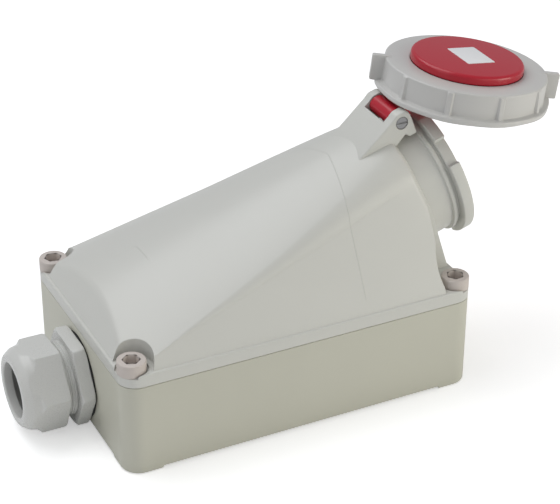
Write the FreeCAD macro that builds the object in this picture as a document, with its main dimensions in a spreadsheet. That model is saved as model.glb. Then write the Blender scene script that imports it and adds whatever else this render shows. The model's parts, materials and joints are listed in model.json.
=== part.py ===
import FreeCAD, Part
import math
import os
import Sketcher
from FreeCAD import Placement, Rotation, Vector

# Wall-mounted industrial socket box with a hinged bayonet lid and a cable gland.
#
# The origin is the centre of the back face that stands on the wall, +Z points away
# from the wall, and +X runs along the casing towards the socket. The socket's axis
# lies in the XZ plane and leans away from +X by socket_tilt.

SIZES = {
    # casing
    "casing_length": 250.0,
    "casing_width": 160.0,
    "casing_height": 64.7,
    "corner_radius": 12.8,
    "foot_height": 1.5,
    "foot_length": 24.0,
    "casing_wall": 5.0,
    "floor_thickness": 3.4,
    "post_length": 22.0,
    "post_width": 22.0,
    "groove_inset": 1.6,
    "groove_width": 2.0,
    "groove_depth": 1.5,
    "gasket_gap": 0.1,
    "wall_hole_spacing_x": 190.0,
    "wall_hole_spacing_y": 100.0,
    "wall_hole_radius": 3.2,
    "wall_boss_radius": 8.0,
    "wall_boss_height": 3.0,
    # cover and its screws
    "rim_height": 8.8,
    "seat_drop": 2.2,
    "seat_gap": 1.25,
    "screw_inset_x": 9.6,
    "screw_inset_y": 11.2,
    "screw_head_radius": 9.35,
    "screw_head_height": 8.6,
    "screw_chamfer": 0.8,
    "screw_socket": 9.4,
    "screw_socket_depth": 5.5,
    "screw_shank_radius": 4.0,
    "screw_gap": 0.05,
    "screw_way_gap": 0.3,
    "screw_end_gap": 0.6,
    "insert_wall": 1.55,
    "insert_length": 15.0,
    "pocket_gap": 4.65,
    "cover_wall": 3.5,
    "cover_overlap": 2.0,
    "cheek_inset": 2.0,
    "end_slope": 27.0,
    "end_inset": 1.8,
    "roof_radius": 215.0,
    "roof_corner_radius": 20.0,
    "shoulder_rise": 5.0,
    "shoulder_back": 30.5,
    "shoulder_rounding": 6.0,
    "flare_length": 21.5,
    # socket
    "socket_tilt": 18.0,
    "socket_overhang": 12.5,
    "socket_rise": 61.8,
    "bore_radius": 39.5,
    "barrel_wall": 3.0,
    "barrel_depth": 68.0,
    "root_wall": 5.7,
    "flange_rim": 6.5,
    "flange_thickness": 8.0,
    "rib_rise": 2.1,
    "rib_back": 10.2,
    "rib_thickness": 3.2,
    "keyway_width": 7.0,
    "keyway_depth": 1.5,
    "keyway_end": 6.0,
    # carrier and contacts
    "shroud_width": 6.5,
    "carrier_recess": 2.0,
    "carrier_ledge": 4.2,
    "carrier_flange_thickness": 5.0,
    "carrier_tail": 22.0,
    "carrier_tail_step": 2.0,
    "carrier_screw_count": 3.0,
    "carrier_screw_angle": 60.0,
    "carrier_screw_radius": 1.4,
    "carrier_screw_inset": 2.3,
    "carrier_screw_length": 12.0,
    "carrier_screw_gap": 0.2,
    "carrier_head_radius": 2.3,
    "carrier_head_height": 2.0,
    "contact_circle": 22.5,
    "line_bore_radius": 4.05,
    "earth_bore_radius": 5.05,
    "pilot_bore_radius": 3.05,
    "entry_gap": 0.8,
    "sleeve_wall": 1.6,
    "sleeve_gap": 0.1,
    "sleeve_recess": 4.0,
    "contact_depth": 42.0,
    "terminal_length": 20.0,
    "terminal_step": 0.6,
    "clamp_radius": 2.5,
    "clamp_gap": 0.4,
    "clamp_length": 7.0,
    "seal_gap": 0.05,
    "seal_thickness": 4.0,
    # hinge
    "hinge_back": 22.4,
    "hinge_lift": 8.7,
    "pin_radius": 2.5,
    "pin_gap": 0.05,
    "pin_head_ledge": 1.6,
    "pin_head_height": 1.6,
    "pin_seat_gap": 0.1,
    "pin_recess": 0.2,
    "pin_end": 0.6,
    "pin_slot_width": 1.0,
    "pin_slot_depth": 0.7,
    "ear_thickness": 7.2,
    "ear_wall": 5.5,
    "ear_front": 7.8,
    "ear_drop": 10.4,
    "ramp_length": 42.0,
    "window_half_width": 12.8,
    "window_gap": 2.9,
    "window_floor_gap": 0.6,
    "clip_thickness": 0.8,
    "knuckle_wall": 4.0,
    "knuckle_gap": 0.6,
    # lid and bayonet ring
    "lid_stand_off": 8.0,
    "lid_open_angle": 64.0,
    "ring_clearance": 2.0,
    "ring_wall": 4.0,
    "ring_end": 0.9,
    "ring_web": 3.0,
    "ring_hole_radius": 36.6,
    "ring_gap": 0.15,
    "ring_rounding": 1.4,
    "lip_width": 4.4,
    "lip_height": 4.4,
    "lip_chamfer": 0.8,
    "grip_count": 10.0,
    "grip_rise": 2.2,
    "grip_width": 2.6,
    "grip_inset": 0.4,
    "lug_rise": 8.6,
    "lug_width": 4.2,
    "lug_cut": 3.3,
    "lug_angle": -24.0,
    "cam_overlap": 1.6,
    "cam_height": 3.4,
    "cam_gap": 0.5,
    "cam_half_angle": 9.0,
    "cam_first_angle": 110.0,
    "notch_play": 2.5,
    "notch_depth": 2.3,
    "notch_gap": 0.6,
    "plate_gap": 0.6,
    "plate_thickness": 3.1,
    "boss_gap": 0.3,
    "disc_overlap": 1.6,
    "disc_height": 6.0,
    "disc_rounding": 1.8,
    "lid_seal_step": 1.0,
    "lid_seal_width": 5.2,
    "lid_seal_gap": 0.3,
    "arm_clearance": 0.2,
    "arm_gap": 0.8,
    "arm_neck": 2.0,
    "arm_knee": 3.5,
    "label_length": 27.5,
    "label_width": 21.0,
    "label_thickness": 0.2,
    "label_offset": 2.3,
    # cable gland
    "gland_lift": 1.9,
    "gland_bore_radius": 18.6,
    "claw_wall": 2.2,
    "claw_gap": 0.2,
    "claw_length": 14.0,
    "claw_count": 12.0,
    "claw_slot": 1.2,
    "neck_wall": 2.0,
    "gland_neck_length": 14.0,
    "gland_thread_step": 1.9,
    "gland_thread_length": 13.0,
    "gland_thread_gap": 0.1,
    "gland_boss_wall": 4.1,
    "gland_boss_length": 9.0,
    "gland_hex_wall": 3.6,
    "gland_hex_length": 9.0,
    "gland_washer_edge": 0.6,
    "gland_washer_thickness": 1.3,
    "nut_wall": 4.0,
    "nut_gap": 0.1,
    "nut_start": 6.8,
    "nut_length": 18.0,
    "nut_turn": 5.0,
    "dome_length": 11.2,
    "dome_lip": 3.2,
    "dome_rounding": 1.6,
    "mouth_step": 0.2,
    "mouth_length": 2.0,
    "seal_wall": 4.0,
    "seal_length": 18.0,
}

# Sizes that follow from others: each is the sum of the sizes that it names.
FITS = {
    "seat_radius": "screw_head_radius + seat_gap",
    "pocket_radius": "screw_head_radius + pocket_gap",
    "insert_bore": "screw_shank_radius + screw_gap",
    "insert_radius": "insert_bore + insert_wall",
    "screw_shank_length": "rim_height - seat_drop + insert_length - screw_end_gap",
    "socket_z": "casing_height + socket_rise",
    "barrel_radius": "bore_radius + barrel_wall",
    "barrel_root_radius": "bore_radius + root_wall",
    "rib_radius": "barrel_radius + rib_rise",
    "flange_radius": "barrel_radius + flange_rim",
    "shoulder_radius": "barrel_radius + shoulder_rise",
    "carrier_radius": "bore_radius - shroud_width",
    "carrier_flange": "bore_radius + carrier_ledge",
    "carrier_screw_circle": "carrier_flange - carrier_screw_inset",
    "carrier_tail_radius": "carrier_radius - carrier_tail_step",
    "carrier_back": "barrel_depth + carrier_flange_thickness",
    "carrier_end": "carrier_back + carrier_tail",
    "sleeve_front": "carrier_recess + sleeve_recess",
    "hinge_rise": "shoulder_radius + hinge_lift",
    "hinge_drop": "hinge_back + lid_stand_off",
    "pin_head_radius": "pin_radius + pin_head_ledge",
    "ear_radius": "pin_radius + ear_wall",
    "ear_half_width": "window_half_width + ear_thickness",
    "knuckle_radius": "pin_radius + knuckle_wall",
    "knuckle_half_width": "window_half_width - knuckle_gap",
    "window_back": "knuckle_radius + window_gap",
    "window_floor": "arm_inner - window_floor_gap",
    "ring_bore": "flange_radius + ring_clearance",
    "ring_radius": "ring_bore + ring_wall",
    "cam_reach": "lid_stand_off + flange_thickness + cam_gap + cam_height",
    "ring_height": "cam_reach + ring_end",
    "lip_radius": "ring_radius + lip_width",
    "grip_radius": "ring_radius + grip_rise",
    "lug_radius": "ring_radius + lug_rise",
    "lug_height": "ring_height - lug_cut",
    "cam_radius": "flange_radius - cam_overlap",
    "plate_radius": "ring_bore - plate_gap",
    "plate_drop": "ring_gap + ring_gap + ring_web",
    "disc_radius": "ring_hole_radius + disc_overlap",
    "lid_seal_inner": "bore_radius + lid_seal_step",
    "lid_seal_outer": "lid_seal_inner + lid_seal_width",
    "arm_inner": "lid_seal_outer + arm_clearance",
    "arm_half_width": "window_half_width - arm_gap",
    "claw_radius": "gland_bore_radius + claw_wall",
    "claw_way_radius": "claw_radius + claw_gap",
    "gland_neck_radius": "claw_way_radius + neck_wall",
    "gland_thread_radius": "gland_neck_radius + gland_thread_step",
    "gland_boss_radius": "gland_thread_radius + gland_boss_wall",
    "gland_hex_half": "gland_thread_radius + gland_hex_wall",
    "gland_washer_radius": "gland_hex_half + gland_washer_edge",
    "gland_height": "gland_washer_radius + gland_lift",
    "gland_shoulder": "gland_washer_thickness + gland_hex_length",
    "gland_neck_end": "gland_shoulder + gland_neck_length",
    "nut_hex_half": "gland_neck_radius + nut_wall",
    "nut_low": "gland_shoulder + nut_start",
    "nut_top": "nut_low + nut_length",
    "nut_end": "nut_top + dome_length",
    "mouth_radius": "gland_bore_radius - mouth_step",
    "dome_radius": "mouth_radius + dome_lip",
}

doc = FreeCAD.newDocument("socket_box")
sheet = doc.addObject("Spreadsheet::Sheet", "sizes")
for row, (alias, size) in enumerate(SIZES.items(), start=1):
    sheet.set(f"A{row}", alias)
    sheet.set(f"B{row}", str(size))
    sheet.setAlias(f"B{row}", alias)
doc.recompute()

NODES = {}


def size(name):
    """Value of a cell of the sheet, or of a size that follows from other cells."""
    if name not in FITS:
        return float(getattr(sheet, name))
    total = 0.0
    sign = 1
    for word in FITS[name].split():
        if word in ("+", "-"):
            sign = 1 if word == "+" else -1
        else:
            total += sign * size(word)
    return total


def in_cells(word):
    """A word of a formula, written with the cells of the sheet."""
    if word in FITS:
        return "( " + " ".join(in_cells(part) for part in FITS[word].split()) + " )"
    return f"sizes.{word}" if word in SIZES else word


def bind(target, prop, formula):
    """Bind one property to a formula of sizes."""
    target.setExpression(prop, " ".join(in_cells(word) for word in formula.split()))


def keep(obj, node, place=None):
    """Give a finished sub-part its label and place, and list it for export."""
    if place is not None:
        obj.Placement = place
    obj.Label = node
    NODES[node] = obj
    return obj


# --- shapes bound to the sheet -------------------------------------------------------

def box(name, corner, length, width, height):
    """Part::Box from formulas: its low corner and its three sides."""
    obj = doc.addObject("Part::Box", name)
    for axis, formula in zip("xyz", corner):
        bind(obj, f"Placement.Base.{axis}", formula)
    bind(obj, "Length", length)
    bind(obj, "Width", width)
    bind(obj, "Height", height)
    return obj


def rod(name, radius, height, base=("0", "0", "0"), turn=None):
    """Part::Cylinder from formulas, standing on base and turned by an optional rotation."""
    obj = doc.addObject("Part::Cylinder", name)
    if turn is not None:
        obj.Placement = Placement(Vector(), turn)
    for axis, formula in zip("xyz", base):
        bind(obj, f"Placement.Base.{axis}", formula)
    bind(obj, "Radius", radius)
    bind(obj, "Height", height)
    return obj


def cut(name, base, tool):
    """Part::Cut of two objects."""
    obj = doc.addObject("Part::Cut", name)
    obj.Base = base
    obj.Tool = tool
    return obj


def fuse(name, *shapes):
    """Part::MultiFuse of several objects."""
    obj = doc.addObject("Part::MultiFuse", name)
    obj.Shapes = list(shapes)
    return obj


def common(name, *shapes):
    """Part::MultiCommon of several objects."""
    obj = doc.addObject("Part::MultiCommon", name)
    obj.Shapes = list(shapes)
    return obj


def solid(name, shape):
    """Part::Feature for a shape that no primitive or sketch gives."""
    obj = doc.addObject("Part::Feature", name)
    obj.Shape = shape
    return obj


def origin_plane(body, role):
    """One of a body's own origin planes."""
    return next(plane for plane in body.Origin.OriginFeatures if plane.Role == role)


def new_sketch(body, name, role, lift=None):
    """A sketch on an origin plane of the body, lifted along the plane's normal."""
    sketch = body.newObject("Sketcher::SketchObject", name)
    sketch.AttachmentSupport = [(origin_plane(body, role), "")]
    sketch.MapMode = "FlatFace"
    if lift is not None:
        bind(sketch, "AttachmentOffset.Base.z", lift)
    return sketch


# first guess, in mm, at a sketch's places and radii, before its formulas take over
SKETCH_GUESS = 5.0


def add_outline(sketch, points):
    """A closed polygon whose corners are held by two formulas each."""
    count = len(points)
    corners = []
    for index in range(count):
        angle = 2 * math.pi * index / count
        corners.append(Vector(math.cos(angle), math.sin(angle), 0).multiply(SKETCH_GUESS))
    first = sketch.GeometryCount
    for index in range(count):
        line = Part.LineSegment(corners[index], corners[(index + 1) % count])
        sketch.addGeometry(line, False)
    for index in range(count):
        after = first + (index + 1) % count
        sketch.addConstraint(Sketcher.Constraint("Coincident", first + index, 2, after, 1))
    for index, pair in enumerate(points):
        place = (corners[index].x, corners[index].y)
        for kind, start, formula in zip(("DistanceX", "DistanceY"), place, pair):
            rule = Sketcher.Constraint(kind, -1, 1, first + index, 1, start)
            number = sketch.addConstraint(rule)
            bind(sketch, f"Constraints[{number}]", formula)


def add_disc(sketch, radius, centre=("0", "0")):
    """A circle held by formulas for its radius and its centre."""
    start = Vector(SKETCH_GUESS, SKETCH_GUESS, 0)
    number = sketch.addGeometry(Part.Circle(start, Vector(0, 0, 1), SKETCH_GUESS), False)
    for kind, formula in zip(("DistanceX", "DistanceY"), centre):
        rule = sketch.addConstraint(Sketcher.Constraint(kind, -1, 1, number, 3, SKETCH_GUESS))
        bind(sketch, f"Constraints[{rule}]", formula)
    rule = sketch.addConstraint(Sketcher.Constraint("Radius", number, SKETCH_GUESS))
    bind(sketch, f"Constraints[{rule}]", radius)


def pad(body, sketch, length, midplane=False):
    """Pad a sketch along its normal."""
    feature = body.newObject("PartDesign::Pad", f"{sketch.Name}_pad")
    feature.Profile = sketch
    feature.Midplane = midplane
    bind(feature, "Length", length)
    sketch.Visibility = False
    return feature


def pocket(body, sketch, length=None, reverse=False):
    """Pocket a sketch against its normal, or along it when reversed."""
    feature = body.newObject("PartDesign::Pocket", f"{sketch.Name}_pocket")
    feature.Profile = sketch
    feature.Reversed = reverse
    if length is None:
        feature.Type = "ThroughAll"
    else:
        bind(feature, "Length", length)
    sketch.Visibility = False
    return feature


def turned(name, outline):
    """A body of revolution about Z; each corner is a radius and a height."""
    body = doc.addObject("PartDesign::Body", name)
    sketch = new_sketch(body, f"{name}_profile", "XZ_Plane")
    add_outline(sketch, outline)
    feature = body.newObject("PartDesign::Revolution", f"{name}_turn")
    feature.Profile = sketch
    feature.ReferenceAxis = (sketch, ["V_Axis"])
    feature.Angle = 360.0
    return body


def prism(name, role, outline, length, lift=None, midplane=False):
    """A body padded from one polygon on an origin plane."""
    body = doc.addObject("PartDesign::Body", name)
    sketch = new_sketch(body, f"{name}_outline", role, lift)
    add_outline(sketch, outline)
    pad(body, sketch, length, midplane)
    return body


def soften(body, name, radius, keep_edge):
    """Fillet the edges of the body's tip that a test picks."""
    doc.recompute()
    tip = body.Tip
    picked = []
    for index, edge in enumerate(tip.Shape.Edges, start=1):
        if keep_edge(edge):
            picked.append(f"Edge{index}")
    feature = body.newObject("PartDesign::Fillet", name)
    feature.Base = (tip, picked)
    bind(feature, "Radius", radius)
    return feature


def is_upright(edge):
    """Whether an edge is a straight line along Z."""
    if edge.Curve.TypeId != "Part::GeomLine":
        return False
    return abs(edge.tangentAt(edge.FirstParameter).z) > 0.999


def hex_outline(half_width):
    """Six corners of a hexagon whose flats lie half_width from its centre along X."""
    points = []
    for index in range(6):
        angle = 30 + 60 * index
        reach = f"( {half_width} ) / cos( 30 )"
        points.append((f"{reach} * cos( {angle} )", f"{reach} * sin( {angle} )"))
    return points


def plan_outline():
    """Four corners of the casing's plan."""
    points = []
    for sign_x, sign_y in ((1, 1), (-1, 1), (-1, -1), (1, -1)):
        points.append((f"{sign_x} * casing_length / 2", f"{sign_y} * casing_width / 2"))
    return points


def post_outline(inset):
    """Cross-shaped outline inside the casing wall that runs round the corner posts."""
    far_x = f"( casing_length / 2 - {inset} )"
    far_y = f"( casing_width / 2 - {inset} )"
    near_x = f"( casing_length / 2 - post_length + casing_wall - {inset} )"
    near_y = f"( casing_width / 2 - post_width + casing_wall - {inset} )"
    quadrant = [(far_x, near_y), (near_x, near_y), (near_x, far_y)]
    points = []
    for sign_x, sign_y, order in ((1, 1, 1), (-1, 1, -1), (-1, -1, 1), (1, -1, -1)):
        for x, y in quadrant[::order]:
            points.append((f"{sign_x} * {x}", f"{sign_y} * {y}"))
    return points


# --- frames ----------------------------------------------------------------------------

TURN_Y = Vector(0, 1, 0)
SOCKET = Placement(
    Vector(size("casing_length") / 2 + size("socket_overhang"), 0, size("socket_z")),
    Rotation(TURN_Y, 90 - size("socket_tilt")),
)
HINGE_IN_SOCKET = Vector(-size("hinge_rise"), 0, -size("hinge_back"))
HINGE = SOCKET.multVec(HINGE_IN_SOCKET)
LID_SHUT = SOCKET.multiply(Placement(Vector(0, 0, size("lid_stand_off")), Rotation()))
LID_SWING = Placement(HINGE, Rotation(TURN_Y, -size("lid_open_angle"))).multiply(
    Placement(-HINGE, Rotation())
)
LID = LID_SWING.multiply(LID_SHUT)
GLAND = Placement(
    Vector(-size("casing_length") / 2, 0, size("gland_height")),
    Rotation(TURN_Y, -90),
)
ALONG_X = Rotation(TURN_Y, 90)
ALONG_Y = Rotation(Vector(1, 0, 0), -90)


def screw_places(height):
    """Placements at the four corner screws."""
    reach_x = size("casing_length") / 2 - size("screw_inset_x")
    reach_y = size("casing_width") / 2 - size("screw_inset_y")
    return [
        Placement(Vector(sign_x * reach_x, sign_y * reach_y, height), Rotation())
        for sign_x in (-1, 1)
        for sign_y in (-1, 1)
    ]


def copies(name, obj, places):
    """One compound of an object's solids at several places."""
    doc.recompute()
    shapes = []
    for place in places:
        shape = obj.Shape.copy()
        shape.Placement = place.multiply(shape.Placement)
        shapes.append(shape)
    return solid(name, Part.makeCompound(shapes))


# --- casing ----------------------------------------------------------------------------

def make_casing():
    """Bottom shell: floor, walls, corner posts, feet, gasket groove and gland boss."""
    body = doc.addObject("PartDesign::Body", "casing_body")
    plan = new_sketch(body, "casing_plan", "XY_Plane", "foot_height")
    add_outline(plan, plan_outline())
    pad(body, plan, "casing_height - foot_height")
    soften(body, "casing_corners", "corner_radius", is_upright)
    hollow = new_sketch(body, "casing_hollow", "XY_Plane", "casing_height")
    add_outline(hollow, post_outline("casing_wall"))
    pocket(body, hollow, "casing_height - foot_height - floor_thickness")
    groove = new_sketch(body, "casing_groove", "XY_Plane", "casing_height")
    add_outline(groove, post_outline("groove_inset"))
    add_outline(groove, post_outline("( groove_inset + groove_width )"))
    pocket(body, groove, "groove_depth")

    feet = copies("feet", box(
        "foot", ("0 - foot_length / 2", "0 - foot_length / 2", "0"),
        "foot_length", "foot_length", "foot_height * 2",
    ), [
        Placement(Vector(
            sign_x * (size("casing_length") - size("foot_length")) / 2,
            sign_y * (size("casing_width") - size("foot_length")) / 2, 0,
        ), Rotation())
        for sign_x in (-1, 1) for sign_y in (-1, 1)
    ])
    plan_column = prism("casing_column", "XY_Plane", plan_outline(), "foot_height * 3")
    soften(plan_column, "column_corners", "corner_radius", is_upright)
    rounded_feet = common("rounded_feet", feet, plan_column)

    gland_boss = rod(
        "gland_boss", "gland_boss_radius", "gland_boss_length + casing_wall / 2",
        ("casing_length / -2 + casing_wall / 2", "0", "gland_height"), ALONG_X,
    )
    above_floor = box(
        "above_floor", ("casing_length / -2", "casing_width / -2", "foot_height"),
        "casing_length", "casing_width", "casing_height - foot_height - groove_depth - 1",
    )
    trimmed_boss = common("trimmed_boss", gland_boss, above_floor)
    wall_bosses = copies("wall_bosses", rod(
        "wall_boss", "wall_boss_radius", "foot_height + floor_thickness + wall_boss_height",
    ), wall_hole_places())
    wall_holes = copies("wall_holes", rod(
        "wall_hole", "wall_hole_radius", "casing_height",
    ), wall_hole_places())
    gland_hole = rod(
        "gland_hole", "gland_thread_radius + gland_thread_gap", "casing_length / 4",
        ("casing_length / -2 - 1", "0", "gland_height"), ALONG_X,
    )
    insert_holes = copies("insert_holes", rod(
        "insert_hole", "insert_radius", "insert_length",
        ("0", "0", "casing_height - insert_length"),
    ), screw_places(0))
    shell = fuse("casing_shell", body, rounded_feet, trimmed_boss, wall_bosses)
    holes = fuse("casing_holes", wall_holes, gland_hole, insert_holes)
    keep(cut("casing_cut", shell, holes), "base_casing")


def wall_hole_places():
    """Placements of the four wall-fixing holes."""
    return [
        Placement(Vector(
            sign_x * size("wall_hole_spacing_x") / 2,
            sign_y * size("wall_hole_spacing_y") / 2, 0,
        ), Rotation())
        for sign_x in (-1, 1) for sign_y in (-1, 1)
    ]


def make_gasket():
    """Sponge cord that fills the groove in the casing's top face."""
    body = doc.addObject("PartDesign::Body", "gasket_body")
    ring = new_sketch(body, "gasket_ring", "XY_Plane", "casing_height - groove_depth")
    add_outline(ring, post_outline("( groove_inset + gasket_gap )"))
    add_outline(ring, post_outline("( groove_inset + groove_width - gasket_gap )"))
    pad(body, ring, "groove_depth")
    keep(body, "casing_gasket")


def make_inserts():
    """Brass bushes in the posts that the cover screws turn into."""
    bush = turned("insert_bush", [
        ("insert_bore", "casing_height - insert_length"),
        ("insert_radius", "casing_height - insert_length"),
        ("insert_radius", "casing_height"),
        ("insert_bore", "casing_height"),
    ])
    keep(copies("insert_group", bush, screw_places(0)), "screw_inserts")


def make_cover_screws():
    """Plastic hexagon-socket screws at the four corners."""
    shank = rod(
        "screw_shank", "screw_shank_radius", "screw_shank_length",
        ("0", "0", "0 - screw_shank_length"),
    )
    head = turned("screw_head", [
        ("0", "0"),
        ("screw_head_radius", "0"),
        ("screw_head_radius", "screw_head_height - screw_chamfer"),
        ("screw_head_radius - screw_chamfer", "screw_head_height"),
        ("0", "screw_head_height"),
    ])
    hexagon = prism(
        "screw_hexagon", "XY_Plane", hex_outline("screw_socket / 2"),
        "screw_socket_depth + 1", "screw_head_height - screw_socket_depth",
    )
    screw = cut("screw_cut", fuse("screw_blank", shank, head), hexagon)
    seat = size("casing_height") + size("rim_height") - size("seat_drop")
    keep(copies("screw_group", screw, screw_places(seat)), "cover_screws")


# --- cover -----------------------------------------------------------------------------

def axis_height(depth):
    """Height of the socket's axis over the back face, behind the socket's front."""
    return size("socket_z") - depth * math.sin(math.radians(size("socket_tilt")))


def rise(height, depth):
    """Place of a height over the back face, measured up a section from the axis."""
    return (height - axis_height(depth)) / math.cos(math.radians(size("socket_tilt")))


def rim_top():
    """Height of the cover's rim over the back face."""
    return size("casing_height") + size("rim_height")


def cheek_half_width():
    """Half the width between the feet of the cheeks."""
    return size("casing_width") / 2 - size("cheek_inset")


def cheek_lean():
    """Lean of the cheeks, whose planes touch the round shoulder at the socket end."""
    drop = rise(rim_top(), size("shoulder_back"))
    spread = math.hypot(cheek_half_width(), drop)
    slope = math.asin(size("shoulder_radius") / spread)
    slope += math.atan2(-drop, cheek_half_width())
    return math.pi / 2 - slope


def arch_wire(depth, inset, is_round, bottom):
    """Section of the cover across the socket's axis, in the socket's own frame.

    depth is the section's place behind the socket's front, inset its distance inside
    the outer skin, and bottom the height of its lower edge over the back face. The
    roof is wide and shallow at the gland end, and round at the socket end.
    """
    lean = cheek_lean()
    up = Vector(math.sin(lean), math.cos(lean), 0)
    inward = Vector(math.cos(lean), -math.sin(lean), 0)
    foot = Vector(-cheek_half_width(), rise(rim_top(), depth), 0)
    apex = Vector(0, size("shoulder_radius") - inset, 0)
    if is_round:
        centre = Vector()
        corner_centre = Vector()
        corner = apex.y
        outward = (up - inward).normalize()
    else:
        roof = size("roof_radius")
        centre = Vector(0, size("shoulder_radius") - roof, 0)
        line = foot + inward * size("roof_corner_radius")
        offset = line - centre
        along = offset.dot(up)
        reach = roof - size("roof_corner_radius")
        climb = math.sqrt(along ** 2 - offset.dot(offset) + reach ** 2) - along
        corner_centre = line + up * climb
        corner = size("roof_corner_radius") - inset
        outward = (corner_centre - centre).normalize()
    touch = corner_centre - inward * corner
    join = corner_centre + outward * corner
    middle = corner_centre + (outward - inward).normalize() * corner
    base = foot + inward * inset
    low = base + up * ((rise(bottom, depth) - base.y) / up.y)

    def place(point, side=1):
        return Vector(-point.y, side * point.x, -depth)

    edges = [
        Part.LineSegment(place(low), place(touch)).toShape(),
        Part.Arc(place(touch), place(middle), place(join)).toShape(),
        Part.Arc(place(join), place(apex), place(join, -1)).toShape(),
        Part.Arc(place(join, -1), place(middle, -1), place(touch, -1)).toShape(),
        Part.LineSegment(place(touch, -1), place(low, -1)).toShape(),
        Part.LineSegment(place(low, -1), place(low)).toShape(),
    ]
    return Part.Wire(edges)


def arch(inset, front, bottom):
    """Tapered arch between the gland end and a depth near the socket, in the row frame."""
    shoulder = size("shoulder_back")
    tail = size("casing_length") + size("shoulder_back")
    low = size("casing_height") / 2
    wires = [arch_wire(tail, inset, False, low), arch_wire(shoulder, inset, True, low)]
    shape = Part.makeLoft(wires, True, True)
    reach = 2 * size("casing_length")
    if front > shoulder:
        ahead = Part.makeBox(reach, reach, front, Vector(-reach / 2, -reach / 2, -front))
        shape = shape.cut(ahead)
    shape.transformShape(SOCKET.toMatrix())
    return shape.cut(Part.makeBox(reach, reach, bottom, Vector(-reach / 2, -reach / 2, 0)))


def end_wedge(inset):
    """Half space beyond the sloping end wall over the gland, as a large block."""
    start = size("casing_length") / -2 + size("end_inset") + inset
    reach = size("casing_length")
    block = Part.makeBox(reach, reach, 2 * reach, Vector(-reach, -reach / 2, -reach))
    block.Placement = Placement(Vector(start, 0, rim_top()), Rotation(TURN_Y, size("end_slope")))
    return block


def flare_blocks(inset):
    """The two blocks cut from the cheeks in front, round the corner screws."""
    reach = size("casing_length")
    start = size("casing_length") / 2 - size("flare_length") - inset
    side = size("shoulder_radius") - inset
    blocks = []
    for low in (side, -side - reach):
        blocks.append(Part.makeBox(reach, reach, reach, Vector(start, low, 0)))
    return blocks


def screw_columns(radius, floor):
    """Upright columns round the corner screws."""
    columns = []
    for place in screw_places(floor):
        columns.append(Part.makeCylinder(radius, size("casing_length"), place.Base))
    return columns


def front_edges(shape):
    """Edges round the top of the arch's front face, without its straight sides."""
    axis = SOCKET.Rotation.multVec(Vector(0, 0, 1))
    level = SOCKET.Base.dot(axis) - size("shoulder_back")
    picked = []
    for edge in shape.Edges:
        points = edge.discretize(5)
        on_front = all(abs(point.dot(axis) - level) < 0.01 for point in points)
        if on_front and min(point.z for point in points) > rim_top() + 1:
            picked.append(edge)
    return picked


def make_cover():
    """Upper shell with rim, tapered arch, socket barrel, flange and hinge bracket."""
    overlap = size("cover_overlap")
    outer = arch(0, 0, rim_top() - overlap).cut(end_wedge(0))
    outer = outer.makeFillet(size("shoulder_rounding"), front_edges(outer))
    for tool in flare_blocks(0) + screw_columns(size("pocket_radius"), rim_top() - 2 * overlap):
        outer = outer.cut(tool)
    arch_outer = solid("arch_outer", outer)

    wall = size("cover_wall")
    inner = arch(wall, size("shoulder_back") + wall, rim_top() - wall)
    for tool in flare_blocks(wall) + screw_columns(size("pocket_radius") + wall, 0):
        inner = inner.cut(tool)
    arch_inner = solid("arch_inner", inner.cut(end_wedge(wall)))

    rim = prism("rim", "XY_Plane", plan_outline(), "rim_height", "casing_height")
    soften(rim, "rim_corners", "corner_radius", is_upright)
    rim_hollow = prism(
        "rim_hollow", "XY_Plane", post_outline("casing_wall"),
        "rim_height - cover_wall / 2", "casing_height - 1",
    )
    barrel = socket_rod("barrel", "barrel_radius", "barrel_depth", "0 - barrel_depth")
    root = socket_rod(
        "barrel_root", "barrel_root_radius",
        "barrel_depth - shoulder_back - 1", "0 - barrel_depth",
    )
    flange = socket_rod("flange", "flange_radius", "flange_thickness", "0 - flange_thickness")
    rib = socket_rod("rib", "rib_radius", "rib_thickness", "0 - rib_back - rib_thickness")
    bore = socket_rod("socket_bore", "bore_radius", "barrel_depth + 2", "0 - barrel_depth - 1")

    notches = solid("notches", Part.makeCompound(notch_shapes()))
    flange_cut = cut("flange_cut", flange, notches)
    skin = fuse("cover_skin", arch_outer, rim, barrel, bracket())
    hollow = cut("cover_hollow", fuse("cover_void", arch_inner, rim_hollow), root)
    blank = fuse("cover_blank", cut("cover_cut", skin, hollow), flange_cut, rib)

    seats = copies("screw_seats", rod(
        "screw_seat", "seat_radius", "seat_drop + 1",
        ("0", "0", "casing_height + rim_height - seat_drop"),
    ), screw_places(0))
    ways = copies("screw_ways", rod(
        "screw_way", "screw_shank_radius + screw_way_gap", "rim_height + 2",
        ("0", "0", "casing_height - 1"),
    ), screw_places(0))
    screw_holes = carrier_rods(size("carrier_screw_radius"), 0, size("carrier_screw_length"))
    carrier_holes = solid("carrier_holes", Part.makeCompound(screw_holes))
    carrier_holes.Placement = SOCKET
    pin_way = hinge_rod(
        "pin_way", "pin_radius", "ear_half_width * 2 + 2", "0 - ear_half_width - 1",
    )
    pin_seat = hinge_rod(
        "pin_seat", "pin_head_radius + pin_seat_gap", "pin_head_height + 1",
        "0 - ear_half_width - 1",
    )
    keyway = placed("keyway_placed", box(
        "keyway", ("0", "0 - keyway_width / 2", "keyway_end - barrel_depth"),
        "bore_radius + keyway_depth", "keyway_width", "barrel_depth",
    ), SOCKET)
    tools = fuse(
        "cover_tools", bore, keyway, seats, ways, carrier_holes, pin_way, pin_seat, window(),
    )
    keep(cut("cover", blank, tools), "upper_housing")


def placed(name, obj, place):
    """A shape built in a frame of its own, moved into the row's frame."""
    group = doc.addObject("Part::Compound", name)
    group.Links = [obj]
    group.Placement = place
    return group


def socket_rod(name, radius, height, start):
    """Part::Cylinder about the socket's axis, starting at a depth."""
    return placed(f"{name}_placed", rod(name, radius, height, ("0", "0", start)), SOCKET)


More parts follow.
